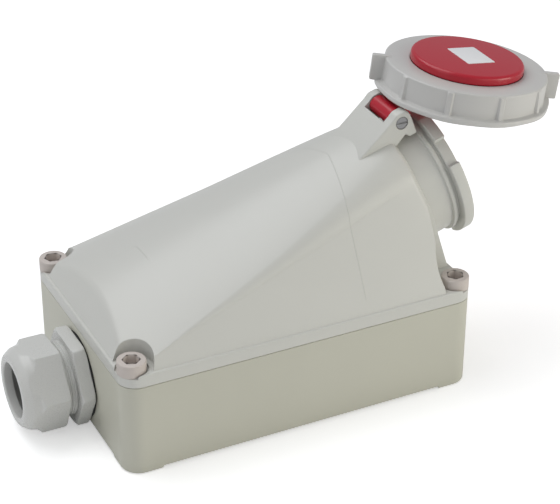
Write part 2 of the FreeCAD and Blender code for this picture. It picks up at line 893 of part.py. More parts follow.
def hinge_rod(name, radius, height, start):
    """Part::Cylinder about the hinge axis, starting at a place along Y."""
    hinge = Placement(HINGE, ALONG_Y)
    return placed(f"{name}_placed", rod(name, radius, height, ("0", "0", start)), hinge)


def bracket():
    """Hinge bracket: a ramp on the roof that ends in the two ears' outline."""
    rise_at_hinge = size("hinge_rise")
    back = size("hinge_back")
    radius = size("ear_radius")
    sunk = size("cover_overlap")
    foot = Vector(sunk - size("shoulder_radius"), 0, -back - size("ramp_length"))
    top = Vector(-rise_at_hinge, 0, -back) + Vector(-radius * 0.8, 0, -radius * 0.6)
    front = -back + size("ear_front")
    low = -rise_at_hinge + size("ear_drop")
    shoulder = size("shoulder_back")
    points = [
        foot,
        top,
        Vector(-rise_at_hinge, 0, -back),
        Vector(-rise_at_hinge, 0, front),
        Vector(low, 0, front),
        Vector(low, 0, -shoulder - sunk),
        Vector(low + 4 * sunk, 0, -shoulder - 2 * sunk),
        foot + Vector(3 * sunk, 0, 0),
    ]
    half = size("ear_half_width")
    wire = Part.makePolygon([point + Vector(0, -half, 0) for point in points + points[:1]])
    block = Part.Face(wire).extrude(Vector(0, 2 * half, 0))
    nose = Part.makeCylinder(
        radius, 2 * half, Vector(-rise_at_hinge, -half, -back), Vector(0, 1, 0),
    )
    shape = block.fuse(nose).removeSplitter()
    shape.transformShape(SOCKET.toMatrix())
    return solid("bracket", shape)


def window():
    """Gap between the ears that the lid's arm swings in, open to the front and the top."""
    half = size("window_half_width")
    depth = size("hinge_back") + size("window_back")
    reach = size("hinge_rise")
    shape = Part.makeBox(
        reach, 2 * half, depth, Vector(-size("window_floor") - reach, -half, -depth),
    )
    shape.transformShape(SOCKET.toMatrix())
    return solid("window", shape)


def sector(radius, height, start, half_angle, angle):
    """Wedge of a cylinder about Z, centred on an angle in degrees."""
    shape = Part.makeCylinder(radius, height, Vector(0, 0, start), Vector(0, 0, 1), 2 * half_angle)
    shape.rotate(Vector(), Vector(0, 0, 1), angle - half_angle)
    return shape


def cam_angles():
    """Angles of the ring's three cams about the lid's axis."""
    return [size("cam_first_angle") + 120 * index for index in range(3)]


def notch_shapes():
    """Notches in the flange for the ring's cams and for the lid's arm."""
    thick = size("flange_thickness")
    low = Vector(0, 0, -thick - 1)
    reach = size("flange_radius")
    gap = size("notch_gap")
    half = size("cam_half_angle") + size("notch_play")
    inside = Part.makeCylinder(size("cam_radius") - size("notch_depth"), thick + 2, low)
    shapes = []
    for angle in cam_angles():
        shape = sector(reach + gap, thick + 2, low.z, half, angle)
        shapes.append(shape.cut(inside))
    half_width = size("window_half_width")
    arm = Part.makeBox(
        reach, 2 * half_width, thick + 2,
        Vector(gap - size("arm_inner") - reach, -half_width, low.z),
    )
    shapes.append(arm)
    for shape in shapes:
        shape.transformShape(SOCKET.toMatrix())
    return shapes


def carrier_rods(radius, behind, ahead):
    """Rods at the carrier's screws, from behind the barrel's back face to ahead of it."""
    circle = size("carrier_screw_circle")
    count = int(size("carrier_screw_count"))
    rods = []
    for index in range(count):
        angle = math.radians(size("carrier_screw_angle") + 360 / count * index)
        start = -size("barrel_depth") - behind
        foot = Vector(circle * math.cos(angle), circle * math.sin(angle), start)
        rods.append(Part.makeCylinder(radius, behind + ahead, foot))
    return rods


# --- contacts and their carrier --------------------------------------------------------

CONTACTS = {
    "contact_earth": "earth_bore_radius",
    "contact_neutral": "line_bore_radius",
    "contact_line_3": "line_bore_radius",
    "contact_line_2": "line_bore_radius",
    "contact_line_1": "line_bore_radius",
}


def contacts_in_turn():
    """Each contact's node, bore and angle, evenly round the circle from the keyway on."""
    for index, (node, bore) in enumerate(CONTACTS.items()):
        yield node, bore, 360 / len(CONTACTS) * index


def contact_spot(angle):
    """Place of a contact on the contact circle at an angle in degrees."""
    turn = Rotation(Vector(0, 0, 1), angle)
    return Placement(turn.multVec(Vector(size("contact_circle"), 0, 0)), Rotation())


def make_carrier():
    """Insulating carrier: a spigot in the bore, a flange behind it and a terminal tail."""
    blank = turned("carrier_blank", [
        ("0", "0 - carrier_recess"),
        ("carrier_radius", "0 - carrier_recess"),
        ("carrier_radius", "0 - barrel_depth"),
        ("carrier_flange", "0 - barrel_depth"),
        ("carrier_flange", "0 - carrier_back"),
        ("carrier_tail_radius", "0 - carrier_back"),
        ("carrier_tail_radius", "0 - carrier_end"),
        ("0", "0 - carrier_end"),
    ])
    holes = []
    for node, bore, angle in contacts_in_turn():
        holes.extend(contact_ways(node, bore, contact_spot(angle), angle))
    holes.extend(contact_ways("contact_pilot", "pilot_bore_radius", Placement(), None))
    screw_ways = carrier_rods(
        size("carrier_screw_radius") + size("carrier_screw_gap"),
        size("carrier_flange_thickness") + 1, 1,
    )
    holes.append(solid("carrier_flange_holes", Part.makeCompound(screw_ways)))
    keep(cut("carrier_cut", blank, fuse("carrier_ways", *holes)), "contact_carrier", SOCKET)


def contact_ways(node, bore, spot, angle):
    """Holes in the carrier for one contact: pin entry, sleeve way and clamp way."""
    entry = rod(
        f"{node}_entry", f"{bore} + entry_gap", "sleeve_front + 2", ("0", "0", "0 - sleeve_front - 1"),
    )
    way = rod(
        f"{node}_way", f"{bore} + sleeve_wall + sleeve_gap", "carrier_end - sleeve_front + 1",
        ("0", "0", "0 - carrier_end - 1"),
    )
    ways = [placed(f"{node}_entry_at", entry, spot), placed(f"{node}_way_at", way, spot)]
    if angle is not None:
        hole = rod(
            f"{node}_clamp_way", "clamp_radius + clamp_gap", "carrier_tail_radius", turn=ALONG_X,
        )
        ways.append(placed(f"{node}_clamp_way_at", hole, clamp_place(angle)))
    return ways


def clamp_place(angle):
    """Place of a clamp screw's axis, pointing outward at an angle about the socket's axis."""
    depth = size("carrier_back") + size("carrier_tail") / 2
    turn = Rotation(Vector(0, 0, 1), angle)
    base = turn.multVec(Vector(size("contact_circle"), 0, 0))
    return Placement(base + Vector(0, 0, -depth), turn)


def make_contact(node, bore, spot, angle):
    """Sleeve with a bore for the pin in front and one for the wire behind."""
    sleeve = turned(f"{node}_sleeve", [
        (bore, "0 - sleeve_front"),
        (f"{bore} + sleeve_wall", "0 - sleeve_front"),
        (f"{bore} + sleeve_wall", "0 - carrier_end"),
        (f"{bore} - terminal_step", "0 - carrier_end"),
        (f"{bore} - terminal_step", "terminal_length - carrier_end"),
        ("0", "terminal_length - carrier_end"),
        ("0", "0 - sleeve_front - contact_depth"),
        (bore, "0 - sleeve_front - contact_depth"),
    ])
    whole = placed(f"{node}_at", sleeve, spot)
    if angle is not None:
        hole = rod(f"{node}_clamp_hole", "clamp_radius", "carrier_tail_radius", turn=ALONG_X)
        hole_at = placed(f"{node}_clamp_hole_at", hole, clamp_place(angle))
        whole = cut(f"{node}_cut", whole, hole_at)
    keep(whole, node, SOCKET)


def make_contacts():
    """Five contacts round the circle, the pilot contact on the axis, and the clamps."""
    clamps = []
    for node, bore, angle in contacts_in_turn():
        make_contact(node, bore, contact_spot(angle), angle)
        start = Vector(size(bore) - size("terminal_step"), 0, 0)
        screw = Part.makeCylinder(
            size("clamp_radius"), size("clamp_length"), start, Vector(1, 0, 0),
        )
        screw.Placement = clamp_place(angle).multiply(screw.Placement)
        clamps.append(screw)
    make_contact("contact_pilot", "pilot_bore_radius", Placement(), None)
    keep(solid("clamp_group", Part.makeCompound(clamps)), "terminal_screws", SOCKET)


def make_carrier_screws():
    """Screws through the carrier's flange into the barrel's back face."""
    under_head = size("carrier_flange_thickness")
    shanks = carrier_rods(size("carrier_screw_radius"), under_head, size("carrier_screw_length"))
    heads = carrier_rods(
        size("carrier_head_radius"), under_head + size("carrier_head_height"), -under_head,
    )
    screws = [shank.fuse(head) for shank, head in zip(shanks, heads)]
    keep(solid("carrier_screw_group", Part.makeCompound(screws)), "carrier_screws", SOCKET)


def make_shroud_seal():
    """Rubber ring on the carrier's flange, at the bottom of the annulus."""
    ring = turned("shroud_seal_ring", [
        ("carrier_radius + seal_gap", "0 - barrel_depth"),
        ("bore_radius - seal_gap", "0 - barrel_depth"),
        ("bore_radius - seal_gap", "seal_thickness - barrel_depth"),
        ("carrier_radius + seal_gap", "seal_thickness - barrel_depth"),
    ])
    keep(ring, "shroud_seal", SOCKET)


# --- hinge -----------------------------------------------------------------------------

def make_hinge_pin():
    """Slotted pin through both ears, and the clip on its far end."""
    half = "ear_half_width"
    pin = turned("pin_blank", [
        ("0", f"pin_recess - {half}"),
        ("pin_head_radius", f"pin_recess - {half}"),
        ("pin_head_radius", f"pin_head_height - {half}"),
        ("pin_radius", f"pin_head_height - {half}"),
        ("pin_radius", f"{half} + clip_thickness + pin_end"),
        ("0", f"{half} + clip_thickness + pin_end"),
    ])
    slot = box(
        "pin_slot", ("0 - pin_head_radius", "0 - pin_slot_width / 2", f"0 - {half} - 1"),
        "pin_head_radius * 2", "pin_slot_width", "1 + pin_recess + pin_slot_depth",
    )
    hinge = Placement(HINGE, ALONG_Y)
    keep(cut("pin_cut", pin, slot), "hinge_pin", hinge)
    clip = turned("clip_blank", [
        ("pin_radius", half),
        ("pin_head_radius", half),
        ("pin_head_radius", f"{half} + clip_thickness"),
        ("pin_radius", f"{half} + clip_thickness"),
    ])
    keep(clip, "pin_clip", hinge)


# --- lid -------------------------------------------------------------------------------

def make_lid():
    """Lid plate with the boss that the ring turns on, the arm and the hinge knuckle."""
    plate = turned("lid_plate", [
        ("0", "0"),
        ("ring_hole_radius - boss_gap", "0"),
        ("ring_hole_radius - boss_gap", "0 - plate_drop"),
        ("plate_radius", "0 - plate_drop"),
        ("plate_radius", "0 - plate_drop - plate_thickness"),
        ("0", "0 - plate_drop - plate_thickness"),
    ])
    eye = rod(
        "lid_eye", "pin_radius + pin_gap", "knuckle_half_width * 2 + 2",
        ("0 - hinge_rise", "0 - knuckle_half_width - 1", "0 - hinge_drop"), ALONG_Y,
    )
    keep(cut("lid_cut", fuse("lid_blank", plate, lid_arm()), eye), "lid_plate", LID)


def lid_arm():
    """Arm from the plate's edge down to the knuckle, inside the ring."""
    half = size("arm_half_width")
    inner = size("arm_inner")
    outer = size("plate_radius")
    axis = Vector(-size("hinge_rise"), 0, -size("hinge_drop"))
    neck = axis.z + size("arm_neck")
    strap = Part.makeBox(
        outer - inner, 2 * half, -size("plate_drop") - neck, Vector(-outer, -half, neck),
    )
    strap = strap.common(Part.makeCylinder(outer, -2 * axis.z, Vector(0, 0, 2 * axis.z)))
    below = -size("ring_height") - size("ring_end")
    side = Vector(0, half, 0)
    points = [
        Vector(-inner, 0, below),
        Vector(-inner, 0, neck),
        Vector(-inner - size("arm_knee"), 0, axis.z - size("pin_radius")),
        axis,
        Vector(-outer, 0, below),
    ]
    outline = Part.makePolygon([point - side for point in points + points[:1]])
    knee = Part.Face(outline).extrude(side * 2)
    width = size("knuckle_half_width")
    knuckle = Part.makeCylinder(
        size("knuckle_radius"), 2 * width, axis - Vector(0, width, 0), Vector(0, 1, 0),
    )
    return solid("lid_arm", strap.fuse([knee, knuckle]).removeSplitter())


def make_lid_disc():
    """Raised round disc on the boss, which holds the ring on."""
    disc = turned("disc_blank", [
        ("0", "0"),
        ("disc_radius", "0"),
        ("disc_radius", "disc_height - disc_rounding"),
        ("disc_radius - disc_rounding * 0.3", "disc_height - disc_rounding * 0.3"),
        ("disc_radius - disc_rounding", "disc_height"),
        ("0", "disc_height"),
    ])
    keep(disc, "lid_disc", LID)


def make_label():
    """Blank white plate on the disc."""
    plate = box(
        "label_plate",
        ("label_offset - label_width / 2", "0 - label_length / 2", "disc_height"),
        "label_width", "label_length", "label_thickness",
    )
    keep(placed("label_placed", plate, Placement()), "rating_plate", LID)


def make_lid_seal():
    """Flat rubber ring under the lid plate that meets the flange's front face."""
    top = "0 - plate_drop - plate_thickness"
    ring = turned("lid_seal_ring", [
        ("lid_seal_inner", top),
        ("lid_seal_outer", top),
        ("lid_seal_outer", "lid_seal_gap - lid_stand_off"),
        ("lid_seal_inner", "lid_seal_gap - lid_stand_off"),
    ])
    keep(ring, "lid_seal", LID)


def make_ring():
    """Bayonet ring: web, skirt, lower lip, grip ribs, two lugs and three cams inside."""
    body = turned("ring_body", [
        ("ring_hole_radius", "0 - ring_gap"),
        ("ring_radius - ring_rounding", "0 - ring_gap"),
        ("ring_radius", "0 - ring_gap - ring_rounding"),
        ("ring_radius", "lip_height - ring_height"),
        ("lip_radius - lip_chamfer", "lip_height - ring_height"),
        ("lip_radius", "lip_height - lip_chamfer - ring_height"),
        ("lip_radius", "lip_chamfer - ring_height"),
        ("lip_radius - lip_chamfer", "0 - ring_height"),
        ("ring_bore", "0 - ring_height"),
        ("ring_bore", "0 - ring_gap - ring_web"),
        ("ring_hole_radius", "0 - ring_gap - ring_web"),
    ])
    shapes = ring_grips() + ring_cams()
    grips = solid("ring_grips", Part.makeCompound(shapes))
    keep(fuse("ring_whole", body, grips), "bayonet_ring", LID)


def ring_grips():
    """Upright ribs round the ring, two of them as wider lugs."""
    count = int(size("grip_count"))
    start = size("ring_bore") + size("ring_wall") / 2
    top = -size("ring_gap")
    grips = []
    for index in range(count):
        if index % (count // 2) == 0:
            width = size("lug_width")
            reach = size("lug_radius")
            length = size("lug_height")
        else:
            width = size("grip_width")
            reach = size("grip_radius")
            length = size("ring_height") - size("ring_end")
            top = -size("ring_gap") - size("grip_inset")
        corner = Vector(start, -width / 2, top - length)
        grip = Part.makeBox(reach - start, width, length, corner)
        grip.rotate(Vector(), Vector(0, 0, 1), size("lug_angle") + 360 / count * index)
        grips.append(grip)
        top = -size("ring_gap")
    return grips


def ring_cams():
    """Cams inside the ring that pass just behind the flange when the lid is shut."""
    low = -size("cam_reach")
    outer = size("ring_bore") + size("ring_wall") / 2
    core = Part.makeCylinder(size("cam_radius"), size("ring_height"), Vector(0, 0, low))
    cams = []
    for angle in cam_angles():
        cam = sector(outer, size("cam_height"), low, size("cam_half_angle"), angle)
        cams.append(cam.cut(core))
    return cams


# --- cable gland -----------------------------------------------------------------------

def make_gland():
    """Gland: threaded body with a hexagon, and the washer under it."""
    shell = turned("gland_shell", [
        ("gland_bore_radius", "0 - gland_thread_length"),
        ("gland_thread_radius", "0 - gland_thread_length"),
        ("gland_thread_radius", "gland_shoulder"),
        ("gland_neck_radius", "gland_shoulder"),
        ("gland_neck_radius", "gland_neck_end"),
        ("claw_way_radius", "gland_neck_end"),
        ("claw_way_radius", "gland_washer_thickness"),
        ("gland_bore_radius", "gland_washer_thickness"),
    ])
    hexagon = prism(
        "gland_hexagon", "XY_Plane", hex_outline("gland_hex_half"),
        "gland_hex_length", "gland_washer_thickness",
    )
    core = rod("gland_core", "gland_neck_radius", "gland_shoulder + 1")
    collar = cut("gland_collar", hexagon, core)
    keep(fuse("gland_body_whole", shell, collar), "gland_body", GLAND)

    washer = turned("washer_ring", [
        ("gland_thread_radius + gland_thread_gap", "0"),
        ("gland_washer_radius", "0"),
        ("gland_washer_radius", "gland_washer_thickness"),
        ("gland_thread_radius + gland_thread_gap", "gland_washer_thickness"),
    ])
    keep(washer, "gland_washer", GLAND)


def make_gland_claw():
    """Ring of clamping fingers in the gland's neck, and the rubber seal inside it."""
    low = "( gland_neck_end - claw_length / 2 )"
    top = "( gland_neck_end + claw_length / 2 )"
    claw = turned("claw_ring", [
        ("gland_bore_radius", low),
        ("claw_radius", low),
        ("claw_radius", top),
        ("gland_bore_radius", top),
    ])
    count = int(size("claw_count"))
    width = size("claw_slot")
    slots = []
    for index in range(count):
        corner = Vector(0, -width / 2, size("gland_neck_end"))
        slot = Part.makeBox(2 * size("claw_radius"), width, size("claw_length"), corner)
        slot.rotate(Vector(), Vector(0, 0, 1), 360 / count * index)
        slots.append(slot)
    gaps = solid("claw_slots", Part.makeCompound(slots))
    keep(cut("claw_cut", claw, gaps), "gland_claw", GLAND)

    seal = turned("seal_sleeve", [
        ("gland_bore_radius - seal_wall", f"{top} - seal_length"),
        ("gland_bore_radius - claw_gap / 2", f"{top} - seal_length"),
        ("gland_bore_radius - claw_gap / 2", top),
        ("gland_bore_radius - seal_wall", top),
    ])
    keep(seal, "gland_seal", GLAND)


def make_gland_nut():
    """Dome nut: hexagon with a threaded bore and a rounded end round the mouth."""
    hexagon = prism("nut_hexagon", "XY_Plane", hex_outline("nut_hex_half"), "nut_length", "nut_low")
    dome = turned("nut_dome", [
        ("0", "nut_top"),
        ("nut_hex_half", "nut_top"),
        ("nut_hex_half", "nut_top + dome_length * 0.35"),
        ("nut_hex_half - dome_rounding", "nut_top + dome_length * 0.7"),
        ("dome_radius", "nut_end"),
        ("0", "nut_end"),
    ])
    hollow = turned("nut_hollow", [
        ("0", "nut_low - 1"),
        ("gland_neck_radius + nut_gap", "nut_low - 1"),
        ("gland_neck_radius + nut_gap", "nut_top + dome_length * 0.4"),
        ("mouth_radius", "nut_end - mouth_length"),
        ("mouth_radius", "nut_end + 1"),
        ("0", "nut_end + 1"),
    ])
    nut = cut("nut_cut", fuse("nut_blank", hexagon, dome), hollow)
    turn = Placement(Vector(), Rotation(Vector(0, 0, 1), size("nut_turn")))
    keep(nut, "gland_nut", GLAND.multiply(turn))


# --- build, check and write ---------------------------------------------------------------

for step in (
    make_casing, make_gasket, make_inserts, make_cover, make_cover_screws,
    make_carrier, make_contacts, make_carrier_screws, make_shroud_seal,
    make_hinge_pin, make_lid, make_lid_disc, make_label, make_lid_seal, make_ring,
    make_gland, make_gland_claw, make_gland_nut,
):
    step()
doc.recompute()

for obj in doc.Objects:
    if "Invalid" in obj.State or "Error" in obj.State:
        raise RuntimeError(f"{obj.Name} failed: {obj.State}")

os.makedirs("parts", exist_ok=True)
for node, obj in NODES.items():
    shape = obj.Shape
    if shape.isNull() or not shape.isValid() or shape.Volume < 1:
        raise RuntimeError(f"{node} has no sound shape")
    shape.exportStep(f"parts/{node}.step")
    print(f"{node}: {len(shape.Solids)} solids, {shape.Volume / 1000:.2f} cm3")
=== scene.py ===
"""Dresses the wall-mounted socket box: housing, lid, bayonet ring, cable gland and screws."""
from __future__ import annotations

import json
import logging
import math
from dataclasses import dataclass, field
from enum import Enum
from functools import cache
from typing import Any

import bmesh
import bpy
import numpy as np
from mathutils import Euler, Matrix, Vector

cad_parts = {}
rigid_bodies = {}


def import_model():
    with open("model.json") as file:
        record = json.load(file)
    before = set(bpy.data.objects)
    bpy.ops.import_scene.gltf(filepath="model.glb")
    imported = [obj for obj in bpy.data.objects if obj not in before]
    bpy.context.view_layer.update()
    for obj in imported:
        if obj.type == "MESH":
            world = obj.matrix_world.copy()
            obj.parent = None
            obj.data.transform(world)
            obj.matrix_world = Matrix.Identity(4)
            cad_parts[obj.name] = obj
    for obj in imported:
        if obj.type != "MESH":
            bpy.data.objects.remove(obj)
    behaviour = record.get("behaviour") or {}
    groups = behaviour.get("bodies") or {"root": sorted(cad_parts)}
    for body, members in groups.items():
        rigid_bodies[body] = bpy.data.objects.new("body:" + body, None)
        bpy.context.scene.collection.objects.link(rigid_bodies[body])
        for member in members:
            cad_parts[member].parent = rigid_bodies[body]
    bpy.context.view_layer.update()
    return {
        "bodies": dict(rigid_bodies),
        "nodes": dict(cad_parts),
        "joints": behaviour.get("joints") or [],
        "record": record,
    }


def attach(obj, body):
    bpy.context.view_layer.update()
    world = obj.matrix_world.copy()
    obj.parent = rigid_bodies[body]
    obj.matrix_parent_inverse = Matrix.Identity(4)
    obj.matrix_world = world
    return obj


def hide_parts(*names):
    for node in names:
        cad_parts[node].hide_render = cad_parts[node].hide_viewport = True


LOG = logging.getLogger("socket_box")
MILLIMETRE = 0.001
TURN = 2 * math.pi
MERGE_DISTANCE = 3e-6  # metres within which two points become one
SIGNS = ((-1, -1), (-1, 1), (1, -1), (1, 1))  # the box's four corners
CAM_ANGLES = (110.0, 230.0, 350.0)  # degrees from straight down, on ring and flange


class Body(Enum):
    """The rigid bodies that pieces ride on."""

    BOX = "socket_box"
    LID = "lid"
    RING = "ring"
    NUT = "nut"


# --- colours and finishes ---------------------------------------------------------------


def linear(red: int, green: int, blue: int) -> tuple[float, float, float]:
    """Turn a display colour into scene-linear values.

    Args:
        red: Red from 0 to 255.
        green: Green from 0 to 255.
        blue: Blue from 0 to 255.

    Returns:
        The three linear values; v / 12.92 below 0.04045, else ((v + 0.055) / 1.055) ** 2.4.
    """
    shares = np.array([red, green, blue]) / 255
    bright = ((shares + 0.055) / 1.055) ** 2.4
    return tuple(float(v) for v in np.where(shares <= 0.04045, shares / 12.92, bright))


class Wiring:
    """Adds nodes to one node tree and joins them."""

    def __init__(self, tree: bpy.types.NodeTree) -> None:
        """Keep the tree that the nodes go into."""
        self.tree = tree

    def add(self, kind: str, **settings: Any) -> bpy.types.Node:
        """Add a node.

        Args:
            kind: The node's type, without the ShaderNode prefix.
            **settings: Properties of the node to set.

        Returns:
            The new node.
        """
        node = self.tree.nodes.new(f"ShaderNode{kind}")
        for name, value in settings.items():
            setattr(node, name, value)
        return node

    def join(self, source: bpy.types.NodeSocket, target: bpy.types.NodeSocket) -> None:
        """Link one socket to another."""
        self.tree.links.new(source, target)

    def feed(self, target: bpy.types.NodeSocket, value: Any) -> None:
        """Link a socket into the target, or set the target's own value.

        Args:
            target: The input to fill.
            value: A socket to link, or a plain value.
        """
        if isinstance(value, bpy.types.NodeSocket):
            self.join(value, target)
        else:
            target.default_value = value

    def math(self, operation: str, *values: Any, clamp: bool = False) -> bpy.types.NodeSocket:
        """Add a Math node.

        Args:
            operation: Its operation.
            *values: Sockets or numbers for its inputs.
            clamp: Whether the result is kept between 0 and 1.

        Returns:
            The node's output.
        """
        node = self.add("Math", operation=operation, use_clamp=clamp)
        for target, value in zip(node.inputs, values):
            self.feed(target, value)
        return node.outputs[0]

    def mix(self, factor: Any, first: Any, second: Any) -> bpy.types.NodeSocket:
        """Blend two colours.

        Args:
            factor: Share of the second colour.
            first: Colour at factor 0.
            second: Colour at factor 1.

        Returns:
            The blended colour.
        """
        node = self.add("Mix", data_type="RGBA")
        self.feed(node.inputs[0], factor)
        self.feed(node.inputs[6], first)
        self.feed(node.inputs[7], second)
        return node.outputs[2]

    def ramp(self, value: Any, low: float, high: float) -> bpy.types.NodeSocket:
        """Stretch the stretch from low to high onto 0 to 1, smoothly.

        Args:
            value: The value to stretch.
            low: Value that becomes 0.
            high: Value that becomes 1.

        Returns:
            The stretched value.
        """
        node = self.add("MapRange", interpolation_type="SMOOTHSTEP")
        self.feed(node.inputs[0], value)
        node.inputs[1].default_value = low
        node.inputs[2].default_value = high
        return node.outputs[0]


class Effects:
    """Shader groups that several finishes share; each is made once."""

    @staticmethod
    def _group(
        name: str, inputs: dict[str, float], outputs: dict[str, str]
    ) -> tuple[bpy.types.NodeTree, Wiring, bpy.types.Node, bpy.types.Node]:
        """Make an empty group with its sockets.

        Args:
            name: The group's name.
            inputs: Names of its number inputs and their defaults.
            outputs: Names of its outputs and their socket kinds.

        Returns:
            The group, its wiring, its input node and its output node.
        """
        tree = bpy.data.node_groups.new(name, "ShaderNodeTree")
        for socket, value in inputs.items():
            made = tree.interface.new_socket(socket, in_out="INPUT", socket_type="NodeSocketFloat")
            made.default_value = value
        for socket, kind in outputs.items():
            tree.interface.new_socket(socket, in_out="OUTPUT", socket_type=f"NodeSocket{kind}")
        source = tree.nodes.new("NodeGroupInput")
        sink = tree.nodes.new("NodeGroupOutput")
        return tree, Wiring(tree), source, sink

    @staticmethod
    def _noise(wires: Wiring, size: bpy.types.NodeSocket, detail: float) -> bpy.types.Node:
        """Add a noise over the piece's own place.

        Args:
            wires: The group's wiring.
            size: Size of its spots in metres.
            detail: Its number of octaves.

        Returns:
            The noise node.
        """
        node = wires.add("TexNoise", noise_dimensions="3D")
        wires.join(wires.add("TexCoord").outputs["Object"], node.inputs["Vector"])
        wires.feed(node.inputs["Scale"], wires.math("DIVIDE", 1.0, size))
        node.inputs["Detail"].default_value = detail
        return node

    @staticmethod
    @cache
    def grain() -> bpy.types.NodeTree:
        """Fine moulding grain with slow flow marks, as a height, a tone and a roughness.

        Returns:
            The group.
        """
        tree, wires, source, sink = Effects._group(
            "moulding_grain",
            {"Grain Size": 0.0004, "Flow Size": 0.05, "Flow Amount": 0.5},
            {"Height": "Float", "Tone": "Float", "Roughness Shift": "Float"},
        )
        fine = Effects._noise(wires, source.outputs["Grain Size"], 2.0)
        flow = Effects._noise(wires, source.outputs["Flow Size"], 3.0)
        flow.inputs["Distortion"].default_value = 0.6
        slow = wires.math("SUBTRACT", flow.outputs[0], 0.5)
        tone = wires.math("MULTIPLY", slow, source.outputs["Flow Amount"])
        quick = wires.math("SUBTRACT", fine.outputs[0], 0.5)
        wires.join(fine.outputs[0], sink.inputs["Height"])
        wires.join(tone, sink.inputs["Tone"])
        wires.join(wires.math("MULTIPLY_ADD", quick, 0.5, tone), sink.inputs["Roughness Shift"])
        return tree

    @staticmethod
    @cache
    def edges() -> bpy.types.NodeTree:
        """Softened edges: a rounded normal, and a mask of where it leaves the true one.

        Returns:
            The group.
        """
        tree, wires, source, sink = Effects._group(
            "soft_edges", {"Radius": 0.0006}, {"Rounded": "Vector", "Edge": "Float"}
        )
        bevel = wires.add("Bevel", samples=6)
        wires.join(source.outputs["Radius"], bevel.inputs["Radius"])
        match = wires.add("VectorMath", operation="DOT_PRODUCT")
        wires.join(bevel.outputs[0], match.inputs[0])
        wires.join(wires.add("NewGeometry").outputs["Normal"], match.inputs[1])
        away = wires.math("SUBTRACT", 1.0, match.outputs["Value"])
        wires.join(wires.math("MULTIPLY", away, 3.0, clamp=True), sink.inputs["Edge"])
        wires.join(bevel.outputs[0], sink.inputs["Rounded"])
        return tree

    @staticmethod
    @cache
    def dust() -> bpy.types.NodeTree:
        """Thin dust that lies on faces that look up, in soft patches.

        Returns:
            The group.
        """
        tree, wires, source, sink = Effects._group(
            "settled_dust", {"Amount": 0.1, "Patch Size": 0.03}, {"Dust": "Float"}
        )
        normal = wires.add("SeparateXYZ")
        wires.join(wires.add("NewGeometry").outputs["Normal"], normal.inputs[0])
        up = wires.ramp(normal.outputs["Z"], 0.2, 0.95)
        cloud = Effects._noise(wires, source.outputs["Patch Size"], 4.0)
        lying = wires.math("MULTIPLY", up, wires.ramp(cloud.outputs[0], 0.35, 0.75))
        wires.join(wires.math("MULTIPLY", lying, source.outputs["Amount"]), sink.inputs["Dust"])
        return tree


LIGHT_TONE, DARK_TONE = 1.25, 0.78  # ends of the flow marks, as shares of the colour
WORN_GAIN, WORN_LIFT = 1.6, 0.05  # a worn edge's colour is colour * gain + lift
DUST_COLOUR = (0.62, 0.61, 0.57, 1.0)
GRAIN_STRENGTH = 0.6


@dataclass(frozen=True)
class Finish:
    """One surface: its colour and gloss, and the grain, worn edges and dust on it."""

    name: str
    colour: tuple[float, float, float]
    roughness: float = 0.35
    metallic: float = 0.0
    specular: float = 0.5
    grain_size: float = 0.0005
    grain_height: float = 0.00002
    flow_size: float = 0.06
    flow_tone: float = 0.05
    edge_radius: float = 0.0006
    edge_tone: float = 0.06
    dust: float = 0.10

    def material(self) -> bpy.types.Material:
        """Make the material, or find it if it is made already.

        Returns:
            The material.
        """
        found = bpy.data.materials.get(self.name)
        if found is not None:
            return found
        made = bpy.data.materials.new(self.name)
        made.use_nodes = True
        made.node_tree.nodes.clear()
        wires = Wiring(made.node_tree)
        shader = wires.add("BsdfPrincipled")
        output = wires.add("OutputMaterial")
        wires.join(shader.outputs[0], output.inputs[0])
        shader.inputs["Metallic"].default_value = self.metallic
        shader.inputs["Specular IOR Level"].default_value = self.specular

        grain = wires.add("Group", node_tree=Effects.grain())
        grain.inputs["Grain Size"].default_value = self.grain_size
        grain.inputs["Flow Size"].default_value = self.flow_size
        grain.inputs["Flow Amount"].default_value = self.flow_tone * 2
        edges = wires.add("Group", node_tree=Effects.edges())
        edges.inputs["Radius"].default_value = self.edge_radius
        dust = wires.add("Group", node_tree=Effects.dust())
        dust.inputs["Amount"].default_value = self.dust

        base = np.array(self.colour)
        lighter = (*np.clip(base * LIGHT_TONE, 0, 1), 1.0)
        darker = (*(base * DARK_TONE), 1.0)
        tone = wires.math("ADD", grain.outputs["Tone"], 0.5, clamp=True)
        body = wires.mix(tone, darker, lighter)
        worn = wires.math("MULTIPLY", edges.outputs["Edge"], self.edge_tone)
        edged = wires.mix(worn, body, (*np.clip(base * WORN_GAIN + WORN_LIFT, 0, 1), 1.0))
        dusted = wires.mix(dust.outputs["Dust"], edged, DUST_COLOUR)
        wires.join(self.pattern(wires, dusted), shader.inputs["Base Color"])

        rough = wires.math("MULTIPLY_ADD", grain.outputs["Roughness Shift"], 0.25, self.roughness)
        rough = wires.math("MULTIPLY_ADD", dust.outputs["Dust"], 0.4, rough, clamp=True)
        wires.join(rough, shader.inputs["Roughness"])

        bump = wires.add("Bump")
        bump.inputs["Distance"].default_value = self.grain_height
        bump.inputs["Strength"].default_value = GRAIN_STRENGTH
        wires.join(grain.outputs["Height"], bump.inputs["Height"])
        wires.join(edges.outputs["Rounded"], bump.inputs["Normal"])
        wires.join(self.relief(wires, bump.outputs[0]), shader.inputs["Normal"])
        return made

    def pattern(self, wires: Wiring, colour: bpy.types.NodeSocket) -> bpy.types.NodeSocket:
        """Colour after any pattern of this finish; a plain finish adds none."""
        return colour

    def relief(self, wires: Wiring, normal: bpy.types.NodeSocket) -> bpy.types.NodeSocket:
        """Normal after any raised lines of this finish; a plain finish adds none."""
        return normal


